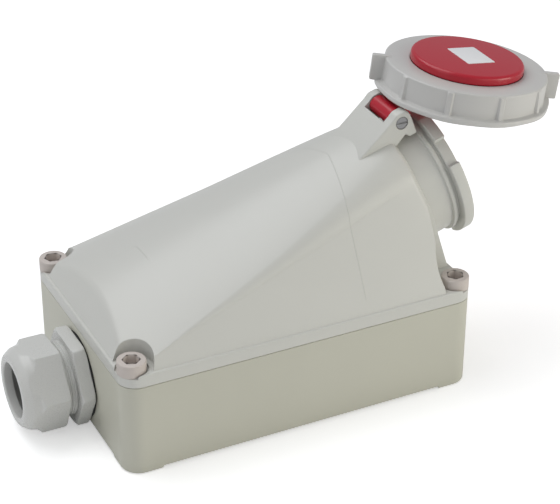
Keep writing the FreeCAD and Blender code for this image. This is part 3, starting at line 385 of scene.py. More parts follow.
# The casing is a darker, warmer copy of the cover plastic: painted shade and painted warm front
# light of its upright walls, put into its colour.
CASING = Finish("casing_plastic", linear(196, 195, 181), roughness=0.34, dust=0.06)
COVER = Finish("cover_plastic", linear(205, 205, 199), roughness=0.30, dust=0.12)
RING = Finish("ring_plastic", linear(198, 197, 194), roughness=0.33, dust=0.08)
GLAND = Finish("gland_nylon", linear(207, 207, 203), roughness=0.28, dust=0.05)
SCREW = Finish("screw_plastic", linear(201, 192, 185), roughness=0.42, dust=0.05)
RED = Finish(
    "red_plastic", linear(190, 2, 16), roughness=0.30, specular=0.22, edge_tone=0.03, dust=0.03
)
LABEL = Finish(
    "label_film", linear(232, 232, 234), roughness=0.45, grain_height=0.000005, dust=0.02
)
RUBBER = Finish("seal_rubber", linear(26, 26, 27), roughness=0.62, edge_tone=0.01, dust=0.04)
MOUTH = Finish("gland_insert", linear(78, 78, 77), roughness=0.5, dust=0.02)
STEEL = Finish(
    "hinge_steel", linear(150, 150, 152), roughness=0.32, metallic=1.0, grain_height=0.00001,
    dust=0.02,
)
BRASS = Finish("contact_brass", linear(205, 172, 98), roughness=0.3, metallic=1.0, dust=0.0)
CARRIER = Finish("carrier_plastic", linear(186, 20, 36), roughness=0.42, dust=0.0)


# --- frames -----------------------------------------------------------------------------


@dataclass(frozen=True)
class Axes:
    """A frame of its own: an origin in millimetres and three unit directions."""

    origin: np.ndarray
    x: np.ndarray
    y: np.ndarray
    z: np.ndarray

    def place(self, points: np.ndarray) -> np.ndarray:
        """Move points from this frame to the row's.

        Args:
            points: Any array whose last axis holds x, y and z.

        Returns:
            origin + x * X + y * Y + z * Z for each point.
        """
        return self.origin + points @ np.stack([self.x, self.y, self.z])


def tilted(origin: np.ndarray, lean: float) -> Axes:
    """Frame whose Z leans from +Z towards +X, with X down the slope and Y kept.

    Args:
        origin: Its origin in millimetres.
        lean: The lean in degrees.

    Returns:
        The frame.
    """
    turn = math.radians(lean)
    down = np.array([math.cos(turn), 0.0, -math.sin(turn)])
    along = np.array([math.sin(turn), 0.0, math.cos(turn)])
    return Axes(np.asarray(origin, float), down, np.array([0.0, 1.0, 0.0]), along)


ROW = tilted(np.zeros(3), 0.0)


# --- surfaces -----------------------------------------------------------------------------


def fillet_path(
    corners: np.ndarray, radius: Any, steps: int = 6, closed: bool = True
) -> np.ndarray:
    """Give each corner of a polyline an arc.

    An arc is a rational quadratic curve from corner + u * d to corner + v * d, with the
    corner as its middle point and weight sin(half), where u and v point to the
    neighbours, half is half the corner's angle, and d = radius / tan(half).

    Args:
        corners: Array (..., n, d) of corners.
        radius: One radius, or one for each corner.
        steps: Points on each arc.
        closed: Whether the last corner joins the first.

    Returns:
        Array (..., n * steps, d).
    """
    middle = np.asarray(corners, float)
    before = np.roll(middle, 1, axis=-2) - middle
    after = np.roll(middle, -1, axis=-2) - middle
    len_before = np.linalg.norm(before, axis=-1, keepdims=True)
    len_after = np.linalg.norm(after, axis=-1, keepdims=True)
    u = before / np.maximum(len_before, 1e-9)
    v = after / np.maximum(len_after, 1e-9)
    half = 0.5 * np.arccos(np.clip((u * v).sum(-1, keepdims=True), -1, 1))
    wanted = np.broadcast_to(np.asarray(radius, float), middle.shape[:-1])[..., None]
    reach = wanted / np.maximum(np.tan(half), 1e-6)
    reach = np.minimum(reach, 0.48 * np.minimum(len_before, len_after))
    if not closed:
        reach[..., 0, :] = 0
        reach[..., -1, :] = 0
    t = np.linspace(0, 1, steps)[:, None]
    weight = np.sin(half)[..., None, :]
    start = (middle + u * reach)[..., None, :]
    end = (middle + v * reach)[..., None, :]
    centre = middle[..., None, :]
    parts = (1 - t) ** 2 * start + 2 * t * (1 - t) * weight * centre + t ** 2 * end
    arcs = parts / ((1 - t) ** 2 + 2 * t * (1 - t) * weight + t ** 2)
    return arcs.reshape(*middle.shape[:-2], -1, middle.shape[-1])


def inset(outline: np.ndarray, distance: float) -> np.ndarray:
    """Move a closed outline inward.

    Each point moves along the mean of its two sides' normals, by
    distance / cos(half the turn).

    Args:
        outline: Array (n, 2), anticlockwise.
        distance: How far inward.

    Returns:
        The moved outline.
    """
    gap = np.roll(outline, -1, axis=0) - outline
    length = np.linalg.norm(gap, axis=1, keepdims=True)
    normal = np.stack([-gap[:, 1], gap[:, 0]], axis=1) / np.maximum(length, 1e-9)
    empty = length[:, 0] < 1e-7
    normal[empty] = np.roll(normal, -1, axis=0)[empty]
    back = np.roll(normal, 1, axis=0)
    mean = normal + back
    mean /= np.maximum(np.linalg.norm(mean, axis=1, keepdims=True), 1e-9)
    share = np.maximum((mean * normal).sum(1, keepdims=True), 0.4)
    return outline + mean * distance / share


def anticlockwise(outline: np.ndarray) -> np.ndarray:
    """Turn an outline the anticlockwise way.

    Args:
        outline: Array (n, 2).

    Returns:
        The outline, reversed where its signed area is below nought.
    """
    ahead = np.roll(outline, -1, axis=0)
    area = (outline[:, 0] * ahead[:, 1] - ahead[:, 0] * outline[:, 1]).sum()
    return outline if area > 0 else outline[::-1]


def hexagon_radius(angle: np.ndarray, across: float, first: float = 0.0) -> np.ndarray:
    """Radius of a hexagon at an angle.

    r = across / 2 / cos(a), where a is the angle from the nearest flat's normal.

    Args:
        angle: Angles in radians.
        across: Size across flats.
        first: Angle of one flat's normal in radians.

    Returns:
        The radii.
    """
    step = math.pi / 3
    local = np.mod(angle - first + step / 2, step) - step / 2
    return across / 2 / np.cos(local)


def soft_min(first: np.ndarray, second: np.ndarray, blend: float) -> np.ndarray:
    """Lesser of two values with a rounded change-over: (a + b - sqrt((a - b)^2 + k^2)) / 2."""
    return 0.5 * (first + second - np.sqrt((first - second) ** 2 + blend ** 2))


def polar(radius: np.ndarray, angle: np.ndarray, height: np.ndarray) -> np.ndarray:
    """Points (r cos a, r sin a, h) about a frame's Z.

    Args:
        radius: Radii.
        angle: Angles in radians.
        height: Heights. All three broadcast against each other.

    Returns:
        Array with x, y and z on its last axis.
    """
    radius, angle, height = np.broadcast_arrays(radius, angle, height)
    return np.stack([radius * np.cos(angle), radius * np.sin(angle), height], axis=-1)


def raised(outline: np.ndarray, level: Any) -> np.ndarray:
    """An outline's points at one height, or each at its own."""
    return np.column_stack([outline, np.full(len(outline), level)])


@dataclass
class Draft:
    """Faces of one piece, gathered in millimetres before they become a mesh."""

    points: list[np.ndarray] = field(default_factory=list)
    faces: list[list[int]] = field(default_factory=list)
    count: int = 0

    def _add(self, points: np.ndarray) -> int:
        """Add points.

        Args:
            points: Array whose last axis holds x, y and z.

        Returns:
            The number of the first point.
        """
        first = self.count
        flat = points.reshape(-1, 3)
        self.points.append(flat)
        self.count += len(flat)
        return first

    def grid(self, points: np.ndarray, wrap_u: bool = False, wrap_v: bool = False) -> None:
        """Add quads between the neighbours of a grid.

        Args:
            points: Array (u, v, 3).
            wrap_u: Whether the last row joins the first.
            wrap_v: Whether the last column joins the first.
        """
        rows, columns = points.shape[:2]
        number = self._add(points) + np.arange(rows * columns).reshape(rows, columns)
        if wrap_u:
            number = np.concatenate([number, number[:1]], axis=0)
        if wrap_v:
            number = np.concatenate([number, number[:, :1]], axis=1)
        quads = np.stack(
            [number[:-1, :-1], number[1:, :-1], number[1:, 1:], number[:-1, 1:]], axis=-1
        )
        self.faces.extend(quads.reshape(-1, 4).tolist())

    def cap(self, loop: np.ndarray) -> None:
        """Add one flat face inside a loop of points."""
        first = self._add(loop)
        self.faces.append(list(range(first, first + len(loop))))

    def turned(
        self, profile: np.ndarray, axes: Axes, count: int = 144, closed: bool = True
    ) -> None:
        """Carry a profile once round the frame's Z.

        Args:
            profile: Array (n, 2) of radius and height.
            axes: The frame.
            count: Steps round.
            closed: Whether the profile's last point joins its first.
        """
        angle = np.linspace(0, TURN, count, endpoint=False)[:, None]
        points = polar(profile[:, 0], angle, profile[:, 1])
        self.grid(axes.place(points), wrap_u=True, wrap_v=closed)

    def slab(
        self, outline: np.ndarray, low: float, high: float, soft: float, axes: Axes
    ) -> None:
        """Stretch an outline along the frame's Z, with rounded rims.

        The rims follow soft * (1 - cos a) inward and soft * (1 - sin a) along Z.

        Args:
            outline: Array (n, 2) of the frame's x and y.
            low: Where the slab starts.
            high: Where it ends.
            soft: Radius of its rims.
            axes: The frame.
        """
        path = anticlockwise(outline)
        angle = np.linspace(0, math.pi / 2, 4)
        inward = soft * (1 - np.sin(angle))
        rise = soft * (1 - np.cos(angle))
        levels = [(d, low + r) for d, r in zip(inward, rise)]
        levels += [(d, high - r) for d, r in zip(inward[::-1], rise[::-1])]
        rows = [raised(inset(path, distance), level) for distance, level in levels]
        self.grid(axes.place(np.stack(rows)), wrap_v=True)
        self.cap(axes.place(rows[0][::-1]))
        self.cap(axes.place(rows[-1]))

    def mesh(self, name: str) -> bpy.types.Mesh:
        """Join the faces into a mesh in metres, with its normals outward.

        Args:
            name: The mesh's name.

        Returns:
            The mesh.
        """
        made = bpy.data.meshes.new(name)
        places = np.concatenate(self.points) * MILLIMETRE
        made.from_pydata(places.tolist(), [], self.faces)
        form = bmesh.new()
        form.from_mesh(made)
        bmesh.ops.remove_doubles(form, verts=form.verts, dist=MERGE_DISTANCE)
        bmesh.ops.recalc_face_normals(form, faces=form.faces)
        if form.calc_volume(signed=True) < 0:
            bmesh.ops.reverse_faces(form, faces=form.faces)
        form.to_mesh(made)
        form.free()
        return made

    def build(
        self, name: str, finish: Finish, body: Body, sharp: float = 32.0
    ) -> bpy.types.Object:
        """Make the piece, smooth between its sharp edges.

        Args:
            name: The piece's name.
            finish: Its finish.
            body: The body it rides on.
            sharp: Angle in degrees past which an edge stays sharp.

        Returns:
            The piece.
        """
        piece = bpy.data.objects.new(name, self.mesh(name))
        bpy.context.scene.collection.objects.link(piece)
        piece.data.materials.append(finish.material())
        shade(piece, sharp)
        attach(piece, body.value)
        LOG.info("%s: %d faces", name, len(piece.data.polygons))
        return piece


def shade(piece: bpy.types.Object, sharp: float) -> None:
    """Shade a piece smooth, apart from its sharp edges.

    Args:
        piece: The piece.
        sharp: Angle in degrees past which an edge stays sharp.
    """
    data = piece.data
    data.polygons.foreach_set("use_smooth", np.ones(len(data.polygons), bool))
    data.set_sharp_from_angle(angle=math.radians(sharp))


def carve(piece: bpy.types.Object, tools: list[Draft], sharp: float = 32.0) -> None:
    """Cut closed shapes from a piece, and keep only the result.

    Args:
        piece: The piece to cut.
        tools: The shapes to take away.
        sharp: Angle in degrees past which an edge stays sharp.
    """
    for number, tool in enumerate(tools):
        cutter = bpy.data.objects.new(f"{piece.name}_tool_{number}", tool.mesh("tool"))
        bpy.context.scene.collection.objects.link(cutter)
        cut = piece.modifiers.new("cut", "BOOLEAN")
        cut.operation = "DIFFERENCE"
        cut.solver = "EXACT"
        cut.object = cutter
        view = bpy.context.evaluated_depsgraph_get()
        result = bpy.data.meshes.new_from_object(piece.evaluated_get(view))
        old = piece.data
        piece.modifiers.clear()
        piece.data = result
        bpy.data.meshes.remove(old)
        spare = cutter.data
        bpy.data.objects.remove(cutter)
        bpy.data.meshes.remove(spare)
    shade(piece, sharp)


def block(
    low: tuple[float, float, float], high: tuple[float, float, float], axes: Axes
) -> Draft:
    """A plain box as a cutting tool.

    Args:
        low: Its lowest corner in the frame.
        high: Its highest corner in the frame.
        axes: The frame.

    Returns:
        The box.
    """
    draft = Draft()
    square = np.array([low[:2], (high[0], low[1]), high[:2], (low[0], high[1])])
    bottom, top = raised(square, low[2]), raised(square, high[2])
    draft.grid(axes.place(np.stack([bottom, top])), wrap_v=True)
    draft.cap(axes.place(bottom[::-1]))
    draft.cap(axes.place(top))
    return draft


def column(centre: tuple[float, float], radius: float, low: float, high: float) -> Draft:
    """A plain upright cylinder as a cutting tool.

    Args:
        centre: Its x and y.
        radius: Its radius.
        low: Where it starts.
        high: Where it ends.

    Returns:
        The cylinder.
    """
    draft = Draft()
    axes = tilted(np.array([centre[0], centre[1], 0.0]), 0.0)
    draft.turned(np.array([[0, low], [radius, low], [radius, high], [0, high]]), axes, 72, False)
    return draft


def rounded_rectangle(
    half_x: float, half_y: float, corner: float, spacing: float
) -> np.ndarray:
    """Outline of a rectangle with round corners and even steps along its sides.

    Args:
        half_x: Half its length along x.
        half_y: Half its length along y.
        corner: Radius of its corners.
        spacing: Step along the sides.

    Returns:
        Array (n, 2), anticlockwise.
    """
    steps = 10
    sharp = np.array([[1, 1], [-1, 1], [-1, -1], [1, -1]]) * [half_x, half_y]
    arcs = fillet_path(sharp, corner, steps).reshape(4, steps, 2)
    parts = []
    for index in range(4):
        start, end = arcs[index, -1], arcs[(index + 1) % 4, 0]
        count = max(2, int(np.linalg.norm(end - start) / spacing))
        share = np.linspace(0, 1, count + 1)[1:-1, None]
        parts.append(arcs[index])
        parts.append(start + share * (end - start))
    return np.concatenate(parts)


# --- housing ------------------------------------------------------------------------------


@dataclass(kw_only=True)
class BoxSizes:
    """Sizes that both shells and the cover screws share."""

    half_length: float = 125.0
    half_width: float = 80.0
    corner: float = 12.8
    seam: float = 64.7
    screw_x: float = 115.4
    screw_y: float = 68.8
    seat_level: float = 71.3

    def outline(self, spacing: float) -> np.ndarray:
        """The box's outline, with steps of about the spacing along its sides."""
        return rounded_rectangle(self.half_length, self.half_width, self.corner, spacing)

    def screw_places(self) -> list[tuple[float, float]]:
        """Places of the four cover screws."""
        return [(a * self.screw_x, b * self.screw_y) for a, b in SIGNS]


@dataclass(kw_only=True)
class Housing(BoxSizes):
    """Upper shell: rim, tapered arch, socket barrel with its flange, and hinge bracket."""

    socket: Axes
    hinge: np.ndarray
    rim_top: float = 73.5
    cheek_half: float = 78.0
    end_x: float = -123.2
    end_slope: float = 27.0
    end_rounding: float = 9.0
    roof_front: float = 52.0
    roof_back: float = 200.0
    roof_power: float = 0.8
    crown_front: float = 50.0
    crown_back: float = 46.2
    crown_reach: float = 0.45
    crease_start: float = 40.75
    crease_run: float = 0.157
    cheek_lean: float = 27.9
    edge_steep: float = 8.0
    edge_front: float = 22.0
    edge_power: float = 12.0
    shoulder_radius: float = 47.5
    shoulder_back: float = 30.5
    shoulder_rounding: float = 6.0
    tail: float = 277.0
    flare_x: float = 103.5
    pocket: float = 14.0
    seat: float = 10.6
    bore: float = 39.5
    barrel: float = 42.5
    barrel_end: float = -67.9
    step: float = -44.0
    collar: float = 44.6
    flange: float = 49.0
    flange_back: float = -8.0
    rib: tuple[float, float] = (-10.2, -13.4)
    keyway_half: float = 3.5
    keyway_reach: tuple[float, float] = (34.0, 41.0)
    keyway_end: float = -62.0
    pin_along: float = -22.4
    pin_up: float = 56.2
    pin_seat: float = 4.5
    pin_recess: float = 18.3
    ear_half: float = 20.0
    sunk: float = 1.2
    notch: float = 45.1
    notch_half: float = 11.5
    window_floor: float = 45.3
    window_half: float = 12.8
    window_start: float = -31.8
    window_turn: float = 15.8
    far: tuple[float, float, float] = (200.0, 120.0, 220.0)
    cut_low: float = 60.0

    def _height(self, level: float, depth: np.ndarray) -> np.ndarray:
        """Place of a level in a section of the arch.

        Args:
            level: Height above the back face.
            depth: The section's place behind the socket's front.

        Returns:
            The place, measured up the section from the socket's axis.
        """
        lean = math.atan2(self.socket.z[2], self.socket.z[0])
        axis = self.socket.origin[2] - depth * math.sin(lean)
        return (level - axis) / math.cos(lean)

    def _skin(self, depth: np.ndarray) -> tuple[np.ndarray, np.ndarray]:
        """One point of the arch's skin on each line that runs along it.

        A section has a cheek that is a leaning plane, an edge that is an arc, and a roof
        that is a shallower arc about the middle plane. The crease between cheek and edge
        moves out in proportion to the depth. The edge leaves the crease C at an angle
        whose inward normal is n, and touches the roof's arc of radius R about O, so
        |C + r n - O| = R - r gives its radius r = (R^2 - |C - O|^2) / 2 (R + n.(C - O)).

        Args:
            depth: Each line's place behind the socket's front, array (..., lines).

        Returns:
            Array (..., lines, 3) in the row's frame, and the inward normal's drop in
            radians.
        """
        lean = math.radians(self.cheek_lean)
        share = (depth - self.shoulder_back) / (self.tail - self.shoulder_back)
        crease = -self.crease_start - self.crease_run * (depth - self.shoulder_back)
        foot = self._height(self.rim_top, depth)
        rise = foot + (self.cheek_half + crease) / math.tan(lean)
        steep = np.radians(
            self.edge_steep + (self.edge_front - self.edge_steep) * (1 - share) ** self.edge_power
        )
        fall = np.minimum(1.0, share / self.crown_reach)
        crown = self.crown_front + (self.crown_back - self.crown_front) * fall
        roof = self.roof_front + (self.roof_back - self.roof_front) * share ** self.roof_power
        below = rise - crown + roof
        lead = np.cos(steep) * crease - np.sin(steep) * below
        edge = (roof ** 2 - crease ** 2 - below ** 2) / (2 * (roof + lead))
        edge = np.maximum(edge, 0.5)
        middle_y = crease + edge * np.cos(steep)
        middle_v = rise - edge * np.sin(steep)
        join = np.arctan2(middle_v - crown + roof, -middle_y)

        part, along = self._lines()
        turn = steep + along * (join - steep)
        top = join + along * (math.pi / 2 - join)
        low = self._height(self.rim_top - self.sunk, depth)
        start = -self.cheek_half - (foot - low) * math.tan(lean)
        cheek_y, cheek_v = start + along * (crease - start), low + along * (rise - low)
        picks = [part == 0, part == 1]
        y = np.select(picks, [cheek_y, middle_y - edge * np.cos(turn)], -roof * np.cos(top))
        v = np.select(
            picks, [cheek_v, middle_v + edge * np.sin(turn)], crown - roof + roof * np.sin(top)
        )
        drop = np.select(picks, [along * steep, turn], top)
        points = self.socket.place(np.stack([-v, y, -depth + 0 * y], axis=-1))
        return points, drop

    @staticmethod
    def _lines() -> tuple[np.ndarray, np.ndarray]:
        """Each line's part (cheek, edge, roof) and its share of the way up that part."""
        counts = (12, 22, 24)
        part = np.repeat(np.arange(3), counts)
        along = np.concatenate([
            np.linspace(0, 1, counts[0]),
            np.linspace(0, 1, counts[1] + 1)[1:],
            np.linspace(0, 1, counts[2] + 1)[1:],
        ])
        return part, along

    def _end_depth(self) -> np.ndarray:
        """Depth at which each line meets the sloping end wall, found by halving."""
        slope = math.tan(math.radians(self.end_slope))
        count = len(self._lines()[0])
        near, far = np.full(count, self.shoulder_back + 40.0), np.full(count, self.tail)
        for _ in range(36):  # 36 halvings leave far less than a micrometre
            middle = (near + far) / 2
            points = self._skin(middle)[0]
            inside = points[:, 0] - self.end_x > slope * (points[:, 2] - self.rim_top)
            near, far = np.where(inside, middle, near), np.where(inside, far, middle)
        return near

    def _arch(self) -> Draft:
        """The arch between the rim and the barrel, closed underneath.

        Each line of the surface runs from the rim up the sloping end wall, along the
        skin, and inward over the front face, with an arc at both bends.

        Returns:
            The arch.
        """
        steps, reach, inward = 10, 14.0, 12.0
        slope = math.tan(math.radians(self.end_slope))
        end = self._end_depth()
        edge = self._skin(end)[0]
        sink = self.rim_top - self.sunk
        start = self.end_x - self.sunk * slope
        foot = np.column_stack([np.full(len(edge), start), edge[:, 1], np.full(len(edge), sink)])
        corners = np.stack([foot, edge, self._skin(end - reach)[0]], axis=1)
        first = fillet_path(corners, [0, self.end_rounding, 0], steps, False)

        share = np.linspace(0, 1, 36)[1:-1, None]
        front = self.shoulder_back + reach
        depth = end - reach + share * (front - end + reach)
        length = np.swapaxes(self._skin(depth)[0], 0, 1)

        level = np.full(len(end), self.shoulder_back)
        near, drop = self._skin(level)
        in_section = np.column_stack([np.sin(drop), np.cos(drop), np.zeros(len(drop))])
        toe = near + inward * (self.socket.place(in_section) - self.socket.origin)
        base = toe.copy()
        base[:, 2] = sink
        base[:, 0] += (toe[:, 2] - sink) * self.socket.z[2] / self.socket.z[0]
        corners = np.stack([self._skin(level + reach)[0], near, toe, base], axis=1)
        last = fillet_path(corners, [0, self.shoulder_rounding, 0, 0], steps, False)

        bend = slice(steps - 1, 2 * steps + 1)
        half = np.concatenate([first[:, bend], length, last[:, bend], last[:, -1:]], axis=1)
        lines = np.concatenate([half, (half * [1, -1, 1])[-2::-1]])
        draft = Draft()
        draft.grid(lines)
        rim = np.concatenate([lines[:, 0], lines[-1, 1:-1], lines[::-1, -1], lines[0, -2:0:-1]])
        draft.cap(rim)
        return draft

    def _rim(self) -> Draft:
        """The flat rim on the seam, with softened upper and lower edges."""
        outline = self.outline(3.0)
        low, inner = self.seam + 0.1, 6.0
        corners = np.array([
            [inner, low], [0.3, low], [0.0, low + 0.3], [0.0, self.rim_top], [inner, self.rim_top],
        ])
        profile = fillet_path(corners, [0, 0.2, 0.2, 1.0, 0], 5, False)
        rows = [raised(inset(outline, distance), level) for distance, level in profile]
        draft = Draft()
        draft.grid(np.stack(rows), wrap_v=True)
        draft.cap(rows[0][::-1])
        draft.cap(rows[-1])
        return draft

    def _flange_radius(self, angle: np.ndarray) -> np.ndarray:
        """Flange's outer radius, less three cam notches and the flat notch for the arm.

        Args:
            angle: Angles about the socket's axis in radians, from straight down.

        Returns:
            flange, or notch in a cam's notch, or window_floor / cos a across the arm's.
        """
        radius = np.full_like(angle, self.flange)
        degrees = np.degrees(angle)
        for middle in CAM_ANGLES:
            away = np.abs((degrees - middle + 180) % 360 - 180)
            radius = np.where(away < self.notch_half, self.notch, radius)
        turn = angle - math.pi
        flat = self.window_floor / np.maximum(np.cos(turn), 0.2)
        inside = np.abs(np.degrees(turn)) < self.window_turn
        return np.where(inside, np.minimum(flat, radius), radius)

    def _socket_end(self) -> Draft:
        """Barrel, bore, flange and sealing rib about the socket's axis.

        Returns:
            The turned shape; only the flange's rim changes with the angle.
        """
        end, step, back, (near, far) = self.barrel_end, self.step, self.flange_back, self.rib
        corners = np.array([
            [self.bore, end], [self.bore, 0.0], [self.flange, 0.0], [self.flange, back],
            [self.barrel, back], [self.barrel, near], [self.collar, near], [self.collar, far],
            [self.barrel, far], [self.barrel, step], [self.collar, step - 2.0], [self.collar, end],
        ])
        soft = [0, 0.8, 1.2, 0.8, 0.6, 0.6, 0.8, 0.8, 0.8, 2.4, 0.2, 0]
        profile = fillet_path(corners, soft, 6)
        steps = np.radians(np.arange(0, 360, 1.0))
        middles = np.array([*CAM_ANGLES, 180.0])
        halves = np.array([*[self.notch_half] * len(CAM_ANGLES), self.window_turn])
        walls = np.concatenate([middles - halves, middles + halves])
        edges = np.radians(np.concatenate([walls - 0.25, walls + 0.25]) % 360)
        angle = np.sort(np.concatenate([steps, edges]))[:, None]
        radius = profile[:, 0] + 0 * angle
        limit = self._flange_radius(angle) - (self.flange - radius) * (radius > 47.0)
        in_flange = (profile[:, 1] > back - 1.0) & (radius > self.collar + 0.4)
        points = polar(np.where(in_flange, limit, radius), angle, profile[:, 1])
        draft = Draft()
        draft.grid(self.socket.place(points), wrap_u=True, wrap_v=True)
        return draft

    def _side(self) -> Axes:
        """Frame of the bracket's outline: x along the socket's axis, y up, z across."""
        up = -self.socket.x
        return Axes(self.socket.origin, self.socket.z, up, np.cross(self.socket.z, up))

    def _bracket(self) -> Draft:
        """Ramp and both ears as one slab, before the window is cut.

        Returns:
            The slab.
        """
        along, up = self.pin_along, self.pin_up
        outline = fillet_path(
            np.array([
                [-61.0, 45.4], [-28.0, 61.0], [along - 2.0, up + 7.2], [along + 6.4, up + 7.2],
                [-14.6, up], [-14.0, 43.6], [-19.6, 43.6], [-22.0, 46.6], [-30.0, 42.0],
                [-58.0, 43.0],
            ]),
            [0.5, 14.0, 5.0, 6.5, 3.0, 1.0, 1.0, 1.0, 1.0, 0.5], 7,
        )
        draft = Draft()
        draft.slab(outline, -self.ear_half, self.ear_half, 1.0, self._side())
        return draft

    def _window(self) -> Draft:
        """The gap between the ears that the lid's arm swings in."""
        low = (self.window_start, self.window_floor, -self.window_half)
        return block(low, (0.0, 90.0, self.window_half), self._side())

    def build(self) -> None:
        """Make the shell's pieces and let them stand for the CAD node."""
        arch = self._arch().build("housing_arch", COVER_SHELL, Body.BOX)
        far_x, far_y, far_z = self.far
        tools: list[Draft] = []
        for sign in (-1, 1):
            near, far = sorted((sign * self.shoulder_radius, sign * far_y))
            tools.append(block((self.flare_x, near, self.cut_low), (far_x, far, far_z), ROW))
        for place in self.screw_places():
            tools.append(column(place, self.pocket, self.cut_low, 200.0))
        tools.append(self._window())
        carve(arch, tools, 12.0)

        rim = self._rim().build("housing_rim", COVER_SHELL, Body.BOX)
        carve(rim, [column(at, self.seat, self.seat_level, 90.0) for at in self.screw_places()])

        barrel = self._socket_end().build("housing_barrel", COVER_SHELL, Body.BOX)
        start, end = self.keyway_reach
        low = (start, -self.keyway_half, self.keyway_end)
        high = (end, self.keyway_half, 2.0)
        carve(barrel, [block(low, high, self.socket)])

        bracket = self._bracket().build("hinge_bracket", COVER_SHELL, Body.BOX)
        side = self._side()
        head = Axes(self.hinge, side.x, side.y, side.z)
        seats = []
        past, radius = self.ear_half + 2.0, self.pin_seat
        for low, high in ((self.pin_recess, past), (-past, -self.pin_recess)):
            seat = Draft()
            profile = np.array([[0, low], [radius, low], [radius, high], [0, high]])
            seat.turned(profile, head, 48, False)
            seats.append(seat)
        carve(bracket, [self._window()] + seats)
        for piece in (arch, rim, barrel, bracket):
            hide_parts("upper_housing")


@dataclass(frozen=True)
class ShellFinish(Finish):
    """Cover plastic with two fine raised lines: a mould line and a label field's frame.

    Its sizes are in metres, as shaders read them.
    """

    roof: float = 0.080
    frame_x: float = 0.100
    frame_half: tuple[float, float] = (0.0245, 0.0195)
    frame_corner: float = 0.003
    frame_line: float = 0.0004
    mould_x: float = 0.0460
    mould_roof: float = 0.0447
    mould_bend: float = -0.207
    mould_line: float = 0.0003
    line_height: float = 0.0002

    def relief(self, wires: Wiring, normal: bpy.types.NodeSocket) -> bpy.types.NodeSocket:
        """Add the lines to the surface.

        The frame's line lies where the distance to a rounded rectangle in X and Y is
        nought: length(max(|p| - half, 0)) - corner, and fades towards the gland and the
        near side. The mould line runs up the cheek at one X, and bends towards the
        socket on the roof, by a share of the way from the roof's edge inward.

        Args:
            wires: The material's wiring.
            normal: The normal so far.

        Returns:
            The normal with the lines.
        """
        place = wires.add("SeparateXYZ")
        wires.join(wires.add("TexCoord").outputs["Object"], place.inputs[0])
        x, y, z = (place.outputs[axis] for axis in "XYZ")
        past_x = wires.math("ABSOLUTE", wires.math("ADD", x, self.frame_x))
        squares = []
        for past, half in zip((past_x, wires.math("ABSOLUTE", y)), self.frame_half):
            out = wires.math("ADD", wires.math("SUBTRACT", past, half), self.frame_corner)
            squares.append(wires.math("POWER", wires.math("MAXIMUM", out, 0.0), 2.0))
        length = wires.math("SQRT", wires.math("ADD", *squares))
        away = wires.math("SUBTRACT", length, self.frame_corner)
        roof = wires.ramp(z, self.roof, self.roof + 0.002)
        frame = wires.math("MULTIPLY", self.line(wires, away, self.frame_line), roof)
        frame = wires.math("MULTIPLY", frame, wires.ramp(x, -0.102, -0.086))
        frame = wires.math("MULTIPLY", frame, wires.ramp(y, -0.010, 0.002))
        inner = wires.math("SUBTRACT", self.mould_roof, wires.math("ABSOLUTE", y))
        bend = wires.math("MULTIPLY", wires.math("MAXIMUM", inner, 0.0), self.mould_bend)
        plane = wires.math("ADD", wires.math("ADD", x, -self.mould_x), bend)
        mould = wires.math("MULTIPLY", self.line(wires, plane, self.mould_line), roof)
        bump = wires.add("Bump")
        bump.inputs["Strength"].default_value = 0.8
        bump.inputs["Distance"].default_value = self.line_height
        wires.join(wires.math("MAXIMUM", frame, mould), bump.inputs["Height"])
        wires.join(normal, bump.inputs["Normal"])
        return bump.outputs[0]

    @staticmethod
    def line(wires: Wiring, away: bpy.types.NodeSocket, width: float) -> bpy.types.NodeSocket:
        """Height of a fine rounded line: 1 on it, 0 beyond its width.

        Args:
            wires: The material's wiring.
            away: Signed distance to the line in metres.
            width: Half the line's width in metres.

        Returns:
            The height.
        """
        near = wires.math("ABSOLUTE", away)
        share = wires.math("DIVIDE", near, width)
        return wires.math("SUBTRACT", 1.0, wires.ramp(share, 0.2, 1.0))


COVER_SHELL = ShellFinish(
    "cover_shell_plastic", COVER.colour, roughness=COVER.roughness, dust=COVER.dust
)


